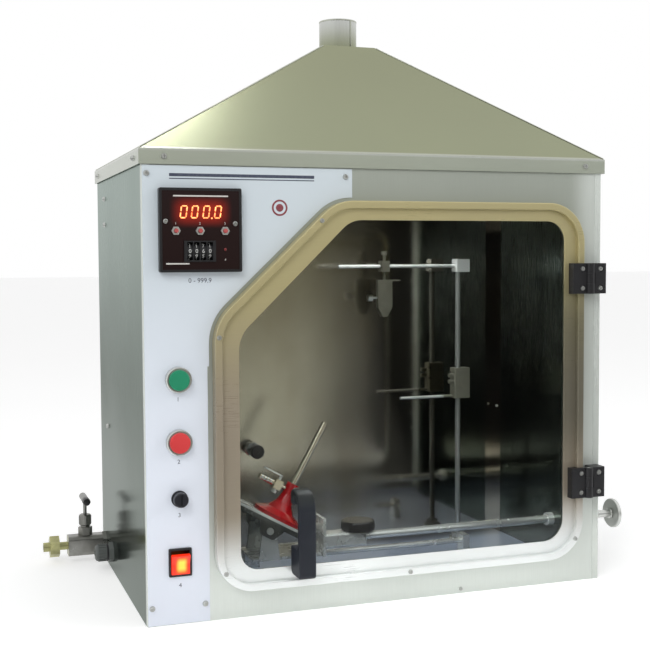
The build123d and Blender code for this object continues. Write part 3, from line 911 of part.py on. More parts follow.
def make_burner():
    """Drawn upright with its foot on z = 0, then leaned over about the pivot."""
    plate = block(PLATE_LEFT, PLATE_RIGHT, -PLATE_HALF, PLATE_HALF, -PLATE_T, 0)
    ear_z = PIVOT_N - EAR_DEPTH
    ear = rounded(((PIVOT_T - EAR_TOP_HALF, -PLATE_T), (PIVOT_T - EAR_HALF, ear_z),
                   (PIVOT_T + EAR_HALF, ear_z), (PIVOT_T + EAR_TOP_HALF, -PLATE_T)),
                  (0, EAR_ROUND, EAR_ROUND, 0))
    for y in (-PLATE_HALF, PLATE_HALF - PLATE_T):
        plate += block(PLATE_LEFT, PLATE_RIGHT, y, y + PLATE_T, -PLATE_FLANGE, 0)
        plate += slab(ear, y, y + PLATE_T)
        plate -= bar("y", (PIVOT_T, y - PLATE_T, PIVOT_N), 3 * PLATE_T, PIVOT_D + 2 * RUN_FIT)
    parts["tilt_plate"] = TILT * plate

    foot = spun((0, 0), (FOOT_R, 0), (FOOT_R, FOOT_T), (FLARE_R, FLARE_Z), (WAIST_R, WAIST_Z),
                (NECK_R, NECK_START), (NECK_R, NECK_H), (0, NECK_H))
    foot -= bar("z", (0, 0, TUBE_SEAT), NECK_H, TUBE_D)
    foot -= bar("x", (-2 * NECK_R, 0, SPUD_Z), 2 * NECK_R - TUBE_D / 2, SPUD_D)
    parts["burner_foot"] = TILT * foot

    tube = bar("z", (0, 0, TUBE_SEAT), TUBE_TOP - TUBE_SEAT, TUBE_D)
    tube -= bar("z", (0, 0, TUBE_SEAT + TUBE_FLOOR), TUBE_TOP, TUBE_BORE)
    spud = bar("x", (SPUD_LEFT, 0, SPUD_Z), -SPUD_LEFT - TUBE_D / 2, SPUD_D)
    spud += bar("x", (SPUD_LEFT, 0, SPUD_Z), BARB_L, BARB_D)
    spud += Pos(COCK_T, 0, SPUD_Z) * Box(COCK_BODY, COCK_BODY, COCK_BODY_H)
    spud -= bar("z", (COCK_T, 0, SPUD_Z - COCK_BODY_H), 2 * COCK_BODY_H, COCK_D + 2 * RUN_FIT)
    parts["burner_tube"] = [TILT * tube, TILT * spud]

    bottom = SPUD_Z - COCK_LOW
    cock = bar("z", (COCK_T, 0, bottom), COCK_LOW + COCK_HIGH, COCK_D)
    cock += bar("z", (COCK_T, 0, bottom), COCK_NUT_T, COCK_NUT_D)
    loop = SlotOverall(LEVER_L, LEVER_W) - SlotOverall(LEVER_L - 2 * LEVER_WIRE, LEVER_W - 2 * LEVER_WIRE)
    loop_x = COCK_T + LEVER_WIRE / 2 - LEVER_L / 2
    cock += Pos(loop_x, 0, SPUD_Z + COCK_HIGH - LEVER_WIRE) * extrude(loop, LEVER_WIRE)
    parts["burner_cock"] = TILT * cock


# ---------------------------------------------------------------- specimen stand
def upright_block(x0, x1, y0, y1, z0, z1):
    """A clamp block with rounded upright edges."""
    return fillet(block(x0, x1, y0, y1, z0, z1).edges().filter_by(Axis.Z), BLOCK_ROUND)


def make_stand():
    x, y = STAND_X, STAND_Y
    foot = bar("z", (x, y, SHEET), STAND_FOOT_H, STAND_FOOT_D)
    foot += hexagon("z", (x, y, SHEET + STAND_FOOT_H), STAND_NUT_H, STAND_NUT_AF)
    foot -= bar("z", (x, y, 0), STAND_TOP, STAND_D)
    parts["stand"] = [foot, bar("z", (x, y, SHEET), STAND_TOP - SHEET, STAND_D)]

    running = STAND_D + 2 * RUN_FIT
    head = upright_block(x - HEAD_LEFT, x + HEAD_RIGHT, y - HEAD_HALF, y + HEAD_HALF,
                         ARM_Z - HEAD_LOW, ARM_Z + HEAD_HIGH)
    head -= bar("z", (x, y, ARM_Z - HEAD_HIGH), STAND_TOP + LIFT - ARM_Z + HEAD_HIGH, running)
    arm_end = x - ARM_SEAT
    head -= bar("x", (arm_end - 2 * SHEET, y, ARM_Z), 2 * SHEET, ARM_D)
    parts["cross_arm"] = [head, bar("x", (x - ARM_REACH, y, ARM_Z), ARM_REACH - ARM_SEAT, ARM_D)]

    z0 = HOLDER_Z - HOLDER_H / 2
    left = x - HEAD_HALF
    slider = upright_block(left, x + HEAD_RIGHT, y - HEAD_HALF, y + HEAD_HALF, z0, z0 + HOLDER_H)
    slider -= bar("z", (x, y, z0 - SHEET), HOLDER_H + 2 * SHEET, running)
    low_rod = bar("x", (x - HOLDER_REACH, y, z0 + HOLDER_ROD_RISE), HOLDER_REACH - HEAD_HALF, HOLDER_ROD_D)
    grips = [bar("x", (left - GRIP_L, y - GRIP_Y, z0 + rise), GRIP_L, GRIP_D) for rise in GRIP_RISE]
    parts["lower_holder"] = [slider, low_rod] + grips
    make_clip()


def make_clip():
    """The hanging clip: a boss on the cross arm and a tapered spring clip below it."""
    x, y, z = CLIP_X, STAND_Y, ARM_Z
    top = z - JAW_DROP
    boss = upright_block(x - HANGER_HALF_X, x + HANGER_HALF_X, y - HANGER_HALF_Y, y + HANGER_HALF_Y,
                         z - HANGER_HALF_Z, z + HANGER_HALF_Z)
    boss += bar("z", (x, y, z + HANGER_HALF_Z), HANGER_HALF_Z, HANGER_PIN_D)
    boss += bar("z", (x, y, z + 2 * HANGER_HALF_Z), HANGER_CAP_H, HANGER_CAP_D)
    boss += bar("z", (x, y, top), z - HANGER_HALF_Z - top, HANGER_PIN_D)
    boss -= bar("x", (x - 2 * HANGER_HALF_X, y, z), 4 * HANGER_HALF_X, ARM_D + 2 * RUN_FIT)

    gap, sheet = CLIP_GAP / 2, CLIP_SHEET
    left, right, low = x - JAW_HALF, x + JAW_HALF, top - JAW_LEN
    jaw = polygon((left, top - sheet), (right, top - sheet), (right, low),
                  (x + JAW_TIP_RIGHT, top - JAW_TIP), (x - JAW_TIP_LEFT, top - JAW_TIP), (left, low))
    clip = slab(jaw, y + gap, y + gap + sheet) + slab(jaw, y - gap - sheet, y - gap)
    clip += block(left, x + JAW_TAIL, y - gap - sheet, y + gap + sheet, top - sheet, top)
    clip += block(left, left + sheet, y - gap, y + gap, low, top)
    screw_z = top - CLIP_SCREW_Z
    clip -= bar("x", (left - sheet, y, screw_z), 3 * sheet, CLIP_SCREW_D + 2 * RUN_FIT)
    parts["specimen_clip"] = [boss, clip]
    screw = bar("x", (x - CLIP_SCREW_OUT, y, screw_z), CLIP_SCREW_L, CLIP_SCREW_D)
    parts["clip_screw"] = screw + bar("x", (x - CLIP_SCREW_OUT, y, screw_z), CLIP_HEAD_L, CLIP_HEAD_D)


# ---------------------------------------------------------------- build and write
make_cabinet()
make_hood()
make_cabinet_screws()
make_control_panel()
make_timer()
make_push_buttons()
make_fuse_holder()
make_rocker_switch()
make_mains_inlet()
make_valve()
make_gas_line()
make_door()
make_hinges()
make_handle()
make_catch()
make_carriage()
make_burner()
make_stand()

os.makedirs("parts", exist_ok=True)
for name, shape in parts.items():
    solids = shape if isinstance(shape, list) else [shape]
    flat = [solid for piece in solids for solid in piece.solids()]
    export_step(flat[0] if len(flat) == 1 else Compound(children=flat), "parts/%s.step" % name)
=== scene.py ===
import math

import bpy
from mathutils import Matrix, Vector


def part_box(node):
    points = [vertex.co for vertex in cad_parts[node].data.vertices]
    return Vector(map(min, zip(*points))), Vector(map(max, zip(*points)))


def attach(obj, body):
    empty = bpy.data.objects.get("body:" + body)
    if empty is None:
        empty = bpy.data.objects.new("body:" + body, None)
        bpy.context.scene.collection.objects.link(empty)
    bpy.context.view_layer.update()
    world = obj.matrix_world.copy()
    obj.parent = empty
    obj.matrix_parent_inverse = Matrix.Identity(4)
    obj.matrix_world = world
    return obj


bl_info = {
    "name": "Flammability tester finish",
    "version": (1, 0, 0),
    "blender": (4, 5, 0),
    "location": "View3D > Sidebar > Tester",
    "description": "Finishes, printed marks and small fittings of a bench flammability tester",
    "category": "Object",
}

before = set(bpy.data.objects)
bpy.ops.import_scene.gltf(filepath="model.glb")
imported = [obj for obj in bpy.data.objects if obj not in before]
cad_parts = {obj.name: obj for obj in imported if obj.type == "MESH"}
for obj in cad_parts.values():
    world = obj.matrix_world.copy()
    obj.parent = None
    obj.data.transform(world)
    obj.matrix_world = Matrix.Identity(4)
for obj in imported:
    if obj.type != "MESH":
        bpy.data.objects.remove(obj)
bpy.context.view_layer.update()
MM = 0.001


def node_box(node):
    """A CAD node's lowest and highest corners and its middle."""
    low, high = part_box(node)
    return low, high, (low + high) / 2


FASCIA_LOW, _, FASCIA_MID = node_box("timer_face")
PANEL_LOW, _, _ = node_box("control_panel")
START_LOW, _, START_MID = node_box("start_button")
STOP_LOW, _, STOP_MID = node_box("stop_button")
FUSE_LOW, _, FUSE_MID = node_box("fuse_cap")
SWITCH_LOW, _, SWITCH_MID = node_box("switch_body")
_, _, ROCKER_MID = node_box("rocker")
FRONT_LOW, _, _ = node_box("front_frame")
HOOD_LOW, HOOD_HIGH, _ = node_box("hood")
CHIMNEY_LOW, CHIMNEY_HIGH, _ = node_box("chimney")
VALVE_LOW, _, _ = node_box("gas_valve")
LEVER_LOW, LEVER_HIGH, LEVER_MID = node_box("valve_handle")
GLAND_LOW, _, GLAND_MID = node_box("mains_inlet")
OUTLET_LOW, _, OUTLET_MID = node_box("outlet_fitting")
_, LOCK_HIGH, LOCK_MID = node_box("lock_knob")
HOLDER_LOW, _, _ = node_box("lower_holder")
_, DISC_HIGH, DISC_MID = node_box("disc_knob")

UP, LEFTWARD, RIGHTWARD = (0, 0, 1), (-1, 0, 0), (1, 0, 0)
FRONTWARD, BACKWARD = (0, -1, 0), (0, 1, 0)
SKIRT_HEIGHT = 18 * MM
GAS_LINE_Z = 24 * MM
RULE_LEFT, RULE_RIGHT = -268 * MM, -94 * MM
# name, height and how many rule widths thick
RULES = (("rule_top", 518.6 * MM, 3.0), ("rule_under", 515.6 * MM, 1.0))
MARK_X, MARK_Z = -137 * MM, 484 * MM
NUMBER_DROP, TIMER_NUMBER_DROP, KEY_NUMBER_RISE = 11 * MM, 13 * MM, 8.2 * MM
SMALL_FIGURE, WHEEL_FIGURE = 2.8 * MM, 4.6 * MM
DIGIT_PLACES, DIGIT_LEAN = (-19.9, -7.0, 6.5, 20.0), math.radians(8)
CROWN_X, CROWN_Y = 35 * MM, 45 * MM
PINS_FROM, PINS_TO = 70 * MM, 68 * MM
DIGIT_GLOW, ROCKER_GLOW, FLOOR_GLOW = 1.8, 1.1, 0.40

BURNER_FOOT = Vector((-0.1015, -0.030, 0.0819))
BURNER_LEAN = math.radians(29.35)
BURNER_ALONG = Vector((math.cos(BURNER_LEAN), 0, -math.sin(BURNER_LEAN)))
BURNER_UP = Vector((math.sin(BURNER_LEAN), 0, math.cos(BURNER_LEAN)))


# ------------------------------------------------------------------ sizes and colours
def linear(value):
    share = value / 255.0
    return share / 12.92 if share <= 0.04045 else ((share + 0.055) / 1.055) ** 2.4


def colour(name, description, srgb):
    """A colour property whose default is written in plain 0 to 255 values."""
    return bpy.props.FloatVectorProperty(
        name=name, description=description, subtype="COLOR", size=3, min=0.0, max=1.0,
        default=tuple(linear(v) for v in srgb))


def darker(tint, factor):
    return tuple(factor * v for v in tint)


def length(name, description, millimetres):
    return bpy.props.FloatProperty(
        name=name, description=description, default=millimetres * MM, min=0.0, unit="LENGTH")


def share(name, description, value):
    return bpy.props.FloatProperty(
        name=name, description=description, default=value, min=0.0, max=1.0, subtype="FACTOR")


class SteelColours(bpy.types.PropertyGroup):
    # Painted reflection: the side walls are lighter towards the hood and darker towards the bench
    wall_top: colour("Wall top", "Side walls near the hood", (196, 208, 203))
    wall_bottom: colour("Wall bottom", "Side walls near the bench", (120, 127, 120))
    # Painted reflection: the hood's tone shifts a little on the way up
    hood_low: colour("Hood foot", "Hood near its skirt", (158, 162, 134))
    hood_high: colour("Hood crown", "Hood near the chimney", (154, 157, 128))
    # Painted light: the skirt is a lighter copy of the hood's own steel
    skirt: colour("Hood skirt", "Folded skirt under the hood", (174, 180, 165))
    # Painted reflection: the front sheet is lighter towards the bench and darker towards the hood
    front_top: colour("Front top", "Front sheet near the hood", (176, 182, 172))
    front_bottom: colour("Front bottom", "Front sheet near the bench", (226, 232, 226))
    # Painted reflection on the stainless door band: golden at its top, dark beside the hinges and white
    # at its foot
    band_top: colour("Door band top", "Pressed door frame at its top", (196, 185, 138))
    band_left: colour("Door band left", "Pressed door frame beside the panel", (172, 160, 142))
    band_right: colour("Door band right", "Pressed door frame beside the hinges", (98, 98, 84))
    band_bottom: colour("Door band bottom", "Pressed door frame at its foot", (248, 252, 251))
    liner: colour("Liner", "Bright back wall of the chamber", (205, 200, 190))
    liner_stain: colour("Liner stain", "Smoke stain on the back wall", (150, 134, 104))
    pan: colour("Base pan", "Chamber floor", (186, 200, 226))
    bright: colour("Bright steel", "Rods, knobs and clamps", (214, 216, 212))
    burner: colour("Burner tube", "Nickel of the burner tube", (206, 196, 176))
    clamp: colour("Clamps", "Clamps and holders in the chamber", (150, 148, 132))
    dull: colour("Dull steel", "Valve body and bonnet", (150, 150, 146))


class PlasticColours(bpy.types.PropertyGroup):
    # Painted light: the panel is darker towards the timer and lighter towards the bench
    panel_top: colour("Panel top", "Control panel near the timer", (204, 214, 220))
    panel_bottom: colour("Panel foot", "Control panel near the bench", (232, 238, 249))
    ink: colour("Ink", "Printed numbers and rules", (34, 44, 70))
    emblem: colour("Red mark", "Printed red mark", (128, 8, 28))
    fascia: colour("Fascia", "Timer fascia", (18, 6, 7))
    black: colour("Black", "Black mouldings", (22, 22, 25))
    grip: colour("Grip", "Door handle", (28, 32, 41))
    green: colour("Start cap", "Start button", (6, 132, 94))
    red: colour("Stop cap", "Stop button", (208, 54, 56))
    enamel: colour("Burner foot", "Red enamel of the burner foot", (148, 8, 16))
    brass: colour("Brass", "Union on the gas inlet", (182, 180, 130))
    gland: colour("Gland", "Grey cable gland", (88, 92, 90))
    glow: colour("Glow", "Lit segments", (255, 92, 40))


class PrintSizes(bpy.types.PropertyGroup):
    number_height: length("Number height", "Height of the panel numbers", 5.0)
    rule_width: length("Rule width", "Width of the printed rules", 1.2)
    print_lift: length("Print lift", "How far print stands off its sheet", 0.12)
    digit_height: length("Digit height", "Height of a lit digit", 15.0)
    digit_width: length("Digit width", "Width of a lit digit", 8.4)
    digit_stroke: length("Digit stroke", "Width of a lit segment", 1.7)


class StageSettings(bpy.types.PropertyGroup):
    camera_place: bpy.props.FloatVectorProperty(
        name="Camera place", description="Where the camera stands", subtype="XYZ", unit="LENGTH",
        default=(-0.5288, -1.4680, 0.4222))
    camera_yaw: bpy.props.FloatProperty(
        name="Camera yaw", description="Turn from +Y towards +X", default=0.33333, unit="ROTATION")
    camera_pitch: bpy.props.FloatProperty(
        name="Camera pitch", description="Tilt above the level", default=-0.05662, unit="ROTATION")
    camera_roll: bpy.props.FloatProperty(
        name="Camera roll", description="Turn about the line of sight", default=-0.00567,
        unit="ROTATION")
    focal_pixels: bpy.props.FloatProperty(
        name="Focal length in pixels", description="For a picture 650 pixels wide", default=1142.8)
    room_light: share("Room light", "Strength of the world on matt surfaces", 0.55)
    dusk_low: colour("Dusk low", "Low part of the wall that the chamber mirrors", (206, 202, 186))
    dusk_high: colour("Dusk high", "High part of the wall that the chamber mirrors", (134, 126, 98))
    night: colour("Night", "Dark part of the wall that the chamber mirrors", (22, 22, 24))


PICTURE_PIXELS = 650
SENSOR_WIDTH = 36.0
PAPER = (0.90, 0.90, 0.90)
FUSE_TINT = (0.012, 0.013, 0.018)
FLOOR_REACH = 30
CARD_LEFT, CARD_RIGHT, CARD_Y, CARD_TOP = -1.8, 3.6, -2.4, 0.8
MAT_NEAR_Y, MAT_LIFT = -0.45, 0.0012
# The lit strip's edges: the shift of x for each metre of y, and at y = 0
MAT_RIGHT_EDGE, MAT_LEFT_EDGE = (0.366, -0.0978), (0.265, 0.0751)

# Name, place, target, size, power, and whether mirrors show it
LAMPS = (("Key", (-1.5, -2.0, 1.9), (0, 0, 0.35), 1.4, 30, False),
         ("Fill", (2.2, -1.2, 1.3), (0, 0, 0.3), 1.6, 14, False),
         ("Chamber", (0.03, 0.0, 0.54), (0.03, 0.02, 0.0), 0.26, 2.2, False),
         ("Hood light", (0.04, -0.06, 2.3), (-0.25, -0.17, 0.57), 0.22, 2.0, True))


# ------------------------------------------------------------------ modelling helpers
def clear_selection():
    if bpy.context.object and bpy.context.object.mode != "OBJECT":
        bpy.ops.object.mode_set(mode="OBJECT")
    bpy.ops.object.select_all(action="DESELECT")


def choose(piece):
    clear_selection()
    piece.select_set(True)
    bpy.context.view_layer.objects.active = piece
    return piece


def settle(piece, name):
    """Names a fresh piece and moves its place into its mesh."""
    piece.name = name
    piece.data.name = name
    choose(piece)
    bpy.ops.object.transform_apply(location=True, rotation=True, scale=True)
    return piece


def added(name, primitive, **settings):
    """A fresh primitive that is already settled."""
    clear_selection()
    getattr(bpy.ops.mesh, "primitive_%s_add" % primitive)(**settings)
    return settle(bpy.context.object, name)


def choose_faces(piece, test):
    """Opens edit mode with only the faces selected that pass the test."""
    choose(piece)
    bpy.ops.object.mode_set(mode="EDIT")
    bpy.ops.mesh.select_mode(type="FACE")
    bpy.ops.mesh.select_all(action="DESELECT")
    bpy.ops.object.mode_set(mode="OBJECT")
    for face in piece.data.polygons:
        face.select = test(face)
    bpy.ops.object.mode_set(mode="EDIT")


def close_edit(piece, smooth_angle=40):
    """Turns every face outwards, leaves edit mode and smooths the gentle edges."""
    bpy.ops.mesh.select_all(action="SELECT")
    bpy.ops.mesh.normals_make_consistent(inside=False)
    bpy.ops.object.mode_set(mode="OBJECT")
    bpy.ops.object.shade_smooth_by_angle(angle=math.radians(smooth_angle))
    return piece


def apply_modifier(piece, kind, **settings):
    """Adds a modifier, sets it up and applies it."""
    modifier = piece.modifiers.new(kind.title(), kind)
    for label, value in settings.items():
        setattr(modifier, label, value)
    choose(piece)
    bpy.ops.object.modifier_apply(modifier=modifier.name)


def soften(piece, width, segments=2, angle=35):
    """Breaks the sharp edges with an applied bevel."""
    apply_modifier(piece, "BEVEL", width=width, segments=segments, limit_method="ANGLE",
                   angle_limit=math.radians(angle))
    bpy.ops.object.shade_smooth_by_angle(angle=math.radians(40))
    return piece


def block(name, low, high, edge, segments=2):
    """A box between two corners, with its edges broken."""
    clear_selection()
    low, high = Vector(low), Vector(high)
    bpy.ops.mesh.primitive_cube_add(size=1.0, location=(low + high) / 2)
    piece = bpy.context.object
    piece.scale = high - low
    settle(piece, name)
    bpy.ops.object.mode_set(mode="EDIT")
    bpy.ops.mesh.select_all(action="SELECT")
    bpy.ops.mesh.bevel(offset=edge, segments=segments, affect="EDGES")
    return close_edit(piece)


def aim(piece, name, start, direction):
    """Stands a piece that was made along +Z on start, pointing along direction."""
    piece.location = Vector(start)
    piece.rotation_euler = Vector(direction).to_track_quat("Z", "Y").to_euler()
    return settle(piece, name)


def turned(name, start, direction, profile, sides=40):
    """A lathe-turned piece: a disc that is drawn out and resized at each (radius, height)."""
    radius, height = profile[0]
    piece = added(name, "circle", vertices=sides, radius=radius, fill_type="NGON",
                  location=(0, 0, height))
    bpy.ops.object.mode_set(mode="EDIT")
    bpy.ops.mesh.select_all(action="SELECT")
    for next_radius, next_height in profile[1:]:
        rise = (0, 0, next_height - height)
        bpy.ops.mesh.extrude_region_move(TRANSFORM_OT_translate={"value": rise})
        grow = next_radius / radius
        bpy.ops.transform.resize(value=(grow, grow, 1), center_override=(0, 0, next_height))
        radius, height = next_radius, next_height
    close_edit(piece)
    return aim(piece, name, start, direction)


def outline(*points):
    """A lathe profile that is written in millimetres."""
    return [(radius * MM, height * MM) for radius, height in points]


def barrel(name, start, direction, size, radius, edge, sides=40):
    """A round bar with both ends rounded off."""
    return turned(name, start, direction,
                  ((radius - edge, 0), (radius - 0.3 * edge, 0.3 * edge), (radius, edge),
                   (radius, size - edge), (radius - 0.3 * edge, size - 0.3 * edge),
                   (radius - edge, size)), sides)


def ribbed(name, start, direction, size, radius, ribs, depth):
    """A grip sleeve: every second side of a drum is inset and drawn outwards."""
    piece = added(name, "cylinder", vertices=2 * ribs, radius=radius, depth=size,
                  location=(0, 0, size / 2))
    pitch = math.pi / ribs

    def every_second(face):
        turn = math.atan2(face.center.y, face.center.x) / pitch
        return abs(face.normal.z) < 0.5 and math.floor(turn) % 2 == 0

    choose_faces(piece, every_second)
    bpy.ops.mesh.inset(thickness=0.12 * pitch * radius, use_individual=True)
    bpy.ops.mesh.extrude_faces_move(TRANSFORM_OT_shrink_fatten={"value": depth})
    close_edit(piece, 25)
    return aim(piece, name, start, direction)


def hoop(name, start, direction, inner, wall, height, edge, sides=64):
    """A flat ring: a circle drawn up into a band, given a wall and rounded."""
    piece = added(name, "circle", vertices=sides, radius=inner, fill_type="NOTHING")
    bpy.ops.object.mode_set(mode="EDIT")
    bpy.ops.mesh.select_mode(type="EDGE")
    bpy.ops.mesh.select_all(action="SELECT")
    bpy.ops.mesh.extrude_region_move(TRANSFORM_OT_translate={"value": (0, 0, height)})
    close_edit(piece)
    apply_modifier(piece, "SOLIDIFY", thickness=wall, offset=1.0)
    soften(piece, edge, 2)
    return aim(piece, name, start, direction)


def lettering(name, text, middle, height, lift, turn=(math.pi / 2, 0.0, 0.0)):
    """Plain figures standing up from a face that looks along -Y."""
    clear_selection()
    bpy.ops.object.text_add()
    piece = bpy.context.object
    piece.data.body = text
    piece.data.size = height / 0.72
    piece.data.align_x = "CENTER"
    piece.data.align_y = "CENTER"
    piece.data.extrude = lift / 2
    bpy.ops.object.convert(target="MESH")
    piece = bpy.context.object
    piece.location = middle
    piece.rotation_euler = turn
    return settle(piece, name)


def joined(name, pieces):
    clear_selection()
    for piece in pieces:
        piece.select_set(True)
    bpy.context.view_layer.objects.active = pieces[0]
    bpy.ops.object.join()
    return settle(bpy.context.object, name)


def finish(piece, body, material):
    """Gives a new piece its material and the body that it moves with."""
    piece.data.materials.clear()
    piece.data.materials.append(material)
    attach(piece, body)
    return piece


def dress(nodes, material):
    for node in nodes:
        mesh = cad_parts[node].data
        mesh.materials.clear()
        mesh.materials.append(material)


def cut_cross(screw, top, size, width, depth):
    """Cuts a cross recess into a screw head that looks along -Y."""
    for across, up in ((size, width), (width, size)):
        cutter = block("cutter", top - Vector((across / 2, depth, up / 2)),
                       top + Vector((across / 2, depth, up / 2)), 0.1 * width, 1)
        apply_modifier(screw, "BOOLEAN", object=cutter, operation="DIFFERENCE")
        bpy.data.objects.remove(cutter)


# ------------------------------------------------------------------ shader groups
FLOAT, VECTOR = "NodeSocketFloat", "NodeSocketVector"


def plug(tree, value, socket):
    """Links a socket to another one, or sets it to a plain value."""
    if isinstance(value, bpy.types.NodeSocket):
        tree.links.new(value, socket)
    else:
        socket.default_value = value


def add_node(tree, kind, inputs, **settings):
    """The outputs of a new node, with its settings made and its inputs linked or set."""
    node = tree.nodes.new("ShaderNode" + kind)
    for label, value in settings.items():
        setattr(node, label, value)
    for label, value in inputs.items():
        plug(tree, value, node.inputs[label])
    return node.outputs


def math_node(tree, operation, first, second=0.0, third=0.0, clamp=False):
    return add_node(tree, "Math", {0: first, 1: second, 2: third}, operation=operation,
                    use_clamp=clamp)[0]


def seen(tree):
    """1 for the camera, for mirrors and for panes, and 0 for matt surfaces."""
    path = add_node(tree, "LightPath", {})
    mirrored = math_node(tree, "MAXIMUM", path["Is Glossy Ray"], path["Is Transmission Ray"])
    return math_node(tree, "MAXIMUM", path["Is Camera Ray"], mirrored)


def group(name, inputs, output):
    """An empty node group with named inputs and one output."""
    tree = bpy.data.node_groups.new(name, "ShaderNodeTree")
    for label, kind, value in inputs:
        socket = tree.interface.new_socket(name=label, in_out="INPUT", socket_type=kind)
        if value is not None:
            socket.default_value = value
    tree.interface.new_socket(name=output, in_out="OUTPUT", socket_type=FLOAT)
    return tree, tree.nodes.new("NodeGroupInput").outputs, tree.nodes.new("NodeGroupOutput")


def grain_group():
    """Fine lines drawn out along one direction, as rolling and brushing leave them."""
    tree, given, result = group(
        "Drawn grain",
        [("Vector", VECTOR, None), ("Stretch", VECTOR, (1, 1, 1)), ("Fineness", FLOAT, 900.0)], "Grain")
    drawn = add_node(tree, "VectorMath", {0: given["Vector"], 1: given["Stretch"]}, operation="MULTIPLY")
    noise = add_node(tree, "TexNoise", {"Vector": drawn[0], "Scale": given["Fineness"], "Detail": 3.0})
    plug(tree, noise["Fac"], result.inputs[0])
    return tree


def cloud_group():
    """Large soft patches, as handling and cleaning leave them."""
    tree, given, result = group(
        "Soft patches",
        [("Vector", VECTOR, None), ("Size", FLOAT, 6.0), ("Contrast", FLOAT, 1.6)], "Patches")
    noise = add_node(tree, "TexNoise", {"Vector": given["Vector"], "Scale": given["Size"],
                                        "Detail": 4.0})
    middle = math_node(tree, "SUBTRACT", noise["Fac"], 0.5)
    spread = math_node(tree, "MULTIPLY_ADD", middle, given["Contrast"], 0.5, True)
    plug(tree, spread, result.inputs[0])
    return tree


def ramp_group():
    """How far a point lies between two values of one coordinate, smoothly from 0 to 1."""
    tree, given, result = group(
        "Smooth ramp", [("Value", FLOAT, 0.0), ("From", FLOAT, 0.0), ("To", FLOAT, 1.0)], "Share")
    step = add_node(tree, "MapRange", {"Value": given["Value"], "From Min": given["From"],
                                       "From Max": given["To"]}, interpolation_type="SMOOTHSTEP")
    plug(tree, step["Result"], result.inputs[0])
    return tree


def speck_group():
    """Small dark specks and pits."""
    tree, given, result = group(
        "Specks", [("Vector", VECTOR, None), ("Count", FLOAT, 260.0), ("Amount", FLOAT, 0.12)], "Specks")
    cells = add_node(tree, "TexVoronoi", {"Vector": given["Vector"], "Scale": given["Count"]})
    plug(tree, math_node(tree, "LESS_THAN", cells["Distance"], given["Amount"]), result.inputs[0])
    return tree


GROUPS = {}
BUMP_DEPTH = 0.1 * MM


class Finish:
    """One material under construction, with short ways to add its nodes."""

    def __init__(self, name):
        self.material = bpy.data.materials.new(name)
        self.material.use_nodes = True
        self.tree = self.material.node_tree
        self.shader = self.tree.nodes["Principled BSDF"]
        self.place = self.tree.nodes.new("ShaderNodeTexCoord").outputs["Object"]
        self.axes = add_node(self.tree, "SeparateXYZ", {0: self.place})

    def set(self, **values):
        """Links or sets the shader's own inputs."""
        for label, value in values.items():
            plug(self.tree, value, self.shader.inputs[label.replace("_", " ")])
        return self

    def use(self, name, **inputs):
        """Places a shared group, with inputs linked or set."""
        return add_node(self.tree, "Group", inputs, node_tree=GROUPS[name])[0]

    def mix(self, factor, first, second):
        """A blend that runs from the first colour at 0 to the second at 1."""
        first, second = (value if isinstance(value, bpy.types.NodeSocket) else (*value[:3], 1.0)
                         for value in (first, second))
        return add_node(self.tree, "Mix", {"Factor": factor, 6: first, 7: second}, data_type="RGBA")[2]

    def math(self, operation, *values, clamp=False):
        return math_node(self.tree, operation, *values, clamp=clamp)

    def times(self, first, second, clamp=False):
        return self.math("MULTIPLY", first, second, clamp=clamp)

    def scaled(self, value, factor, base):
        return self.math("MULTIPLY_ADD", value, factor, base)

    def grain(self, stretch=(1, 1, 1), fineness=900.0):
        return self.use("Drawn grain", Vector=self.place, Stretch=stretch, Fineness=fineness)

    def patches(self, size, contrast=1.6):
        return self.use("Soft patches", Vector=self.place, Size=size, Contrast=contrast)

    def ramp(self, value, start, end):
        value = self.axes[value] if isinstance(value, str) else value
        return self.use("Smooth ramp", Value=value, From=start, To=end)

    def near(self, axis, middle, start, end):
        """1 next to a place on one axis, falling to 0 away from it."""
        away = self.math("ABSOLUTE", self.math("SUBTRACT", self.axes[axis], middle))
        return self.ramp(away, end, start)

    def paint(self, source):
        return self.set(Base_Color=source)

    def rough(self, source):
        return self.set(Roughness=source)

    def worn(self, tone, patches, wear, rubbed, spread, roughness):
        """Patches that rub a tone towards another one and roughen it."""
        self.paint(self.mix(self.times(patches, wear), tone, rubbed))
        return self.rough(self.scaled(patches, spread, roughness))

    def bump(self, height, strength):
        relief = {"Strength": strength, "Distance": BUMP_DEPTH, "Height": height}
        return self.set(Normal=add_node(self.tree, "Bump", relief)[0])


ALONG_X, ALONG_Z = (0.02, 1.0, 1.0), (1.0, 1.0, 0.02)


def rolled(made, tone, along, roughness, patchy=0.10, metal=1.0, patch_size=5.0):
    """Rolled sheet: a tone broken by drawn grain and a cloudy polish."""
    grain = made.grain(along, 1400.0)
    patches = made.patches(patch_size, 2.0)
    dimmed = made.mix(made.times(patches, patchy), tone, (0.16, 0.17, 0.15))
    made.paint(made.mix(made.times(grain, 0.10), dimmed, (0.05, 0.05, 0.05)))
    cloudy = made.scaled(patches, 0.08, roughness)
    made.rough(made.scaled(made.math("SUBTRACT", grain, 0.7), 0.14, cloudy))
    made.bump(grain, 0.12)
    return made.set(Metallic=metal).material


def sheet_steel(name, low_colour, high_colour, z_low, z_high, along, roughness=0.3, patchy=0.10):
    """Rolled stainless sheet whose tone shifts on the way up, a painted reflection."""
    made = Finish(name)
    tone = made.mix(made.ramp("Z", z_low, z_high), low_colour, high_colour)
    return rolled(made, tone, along, roughness, patchy)


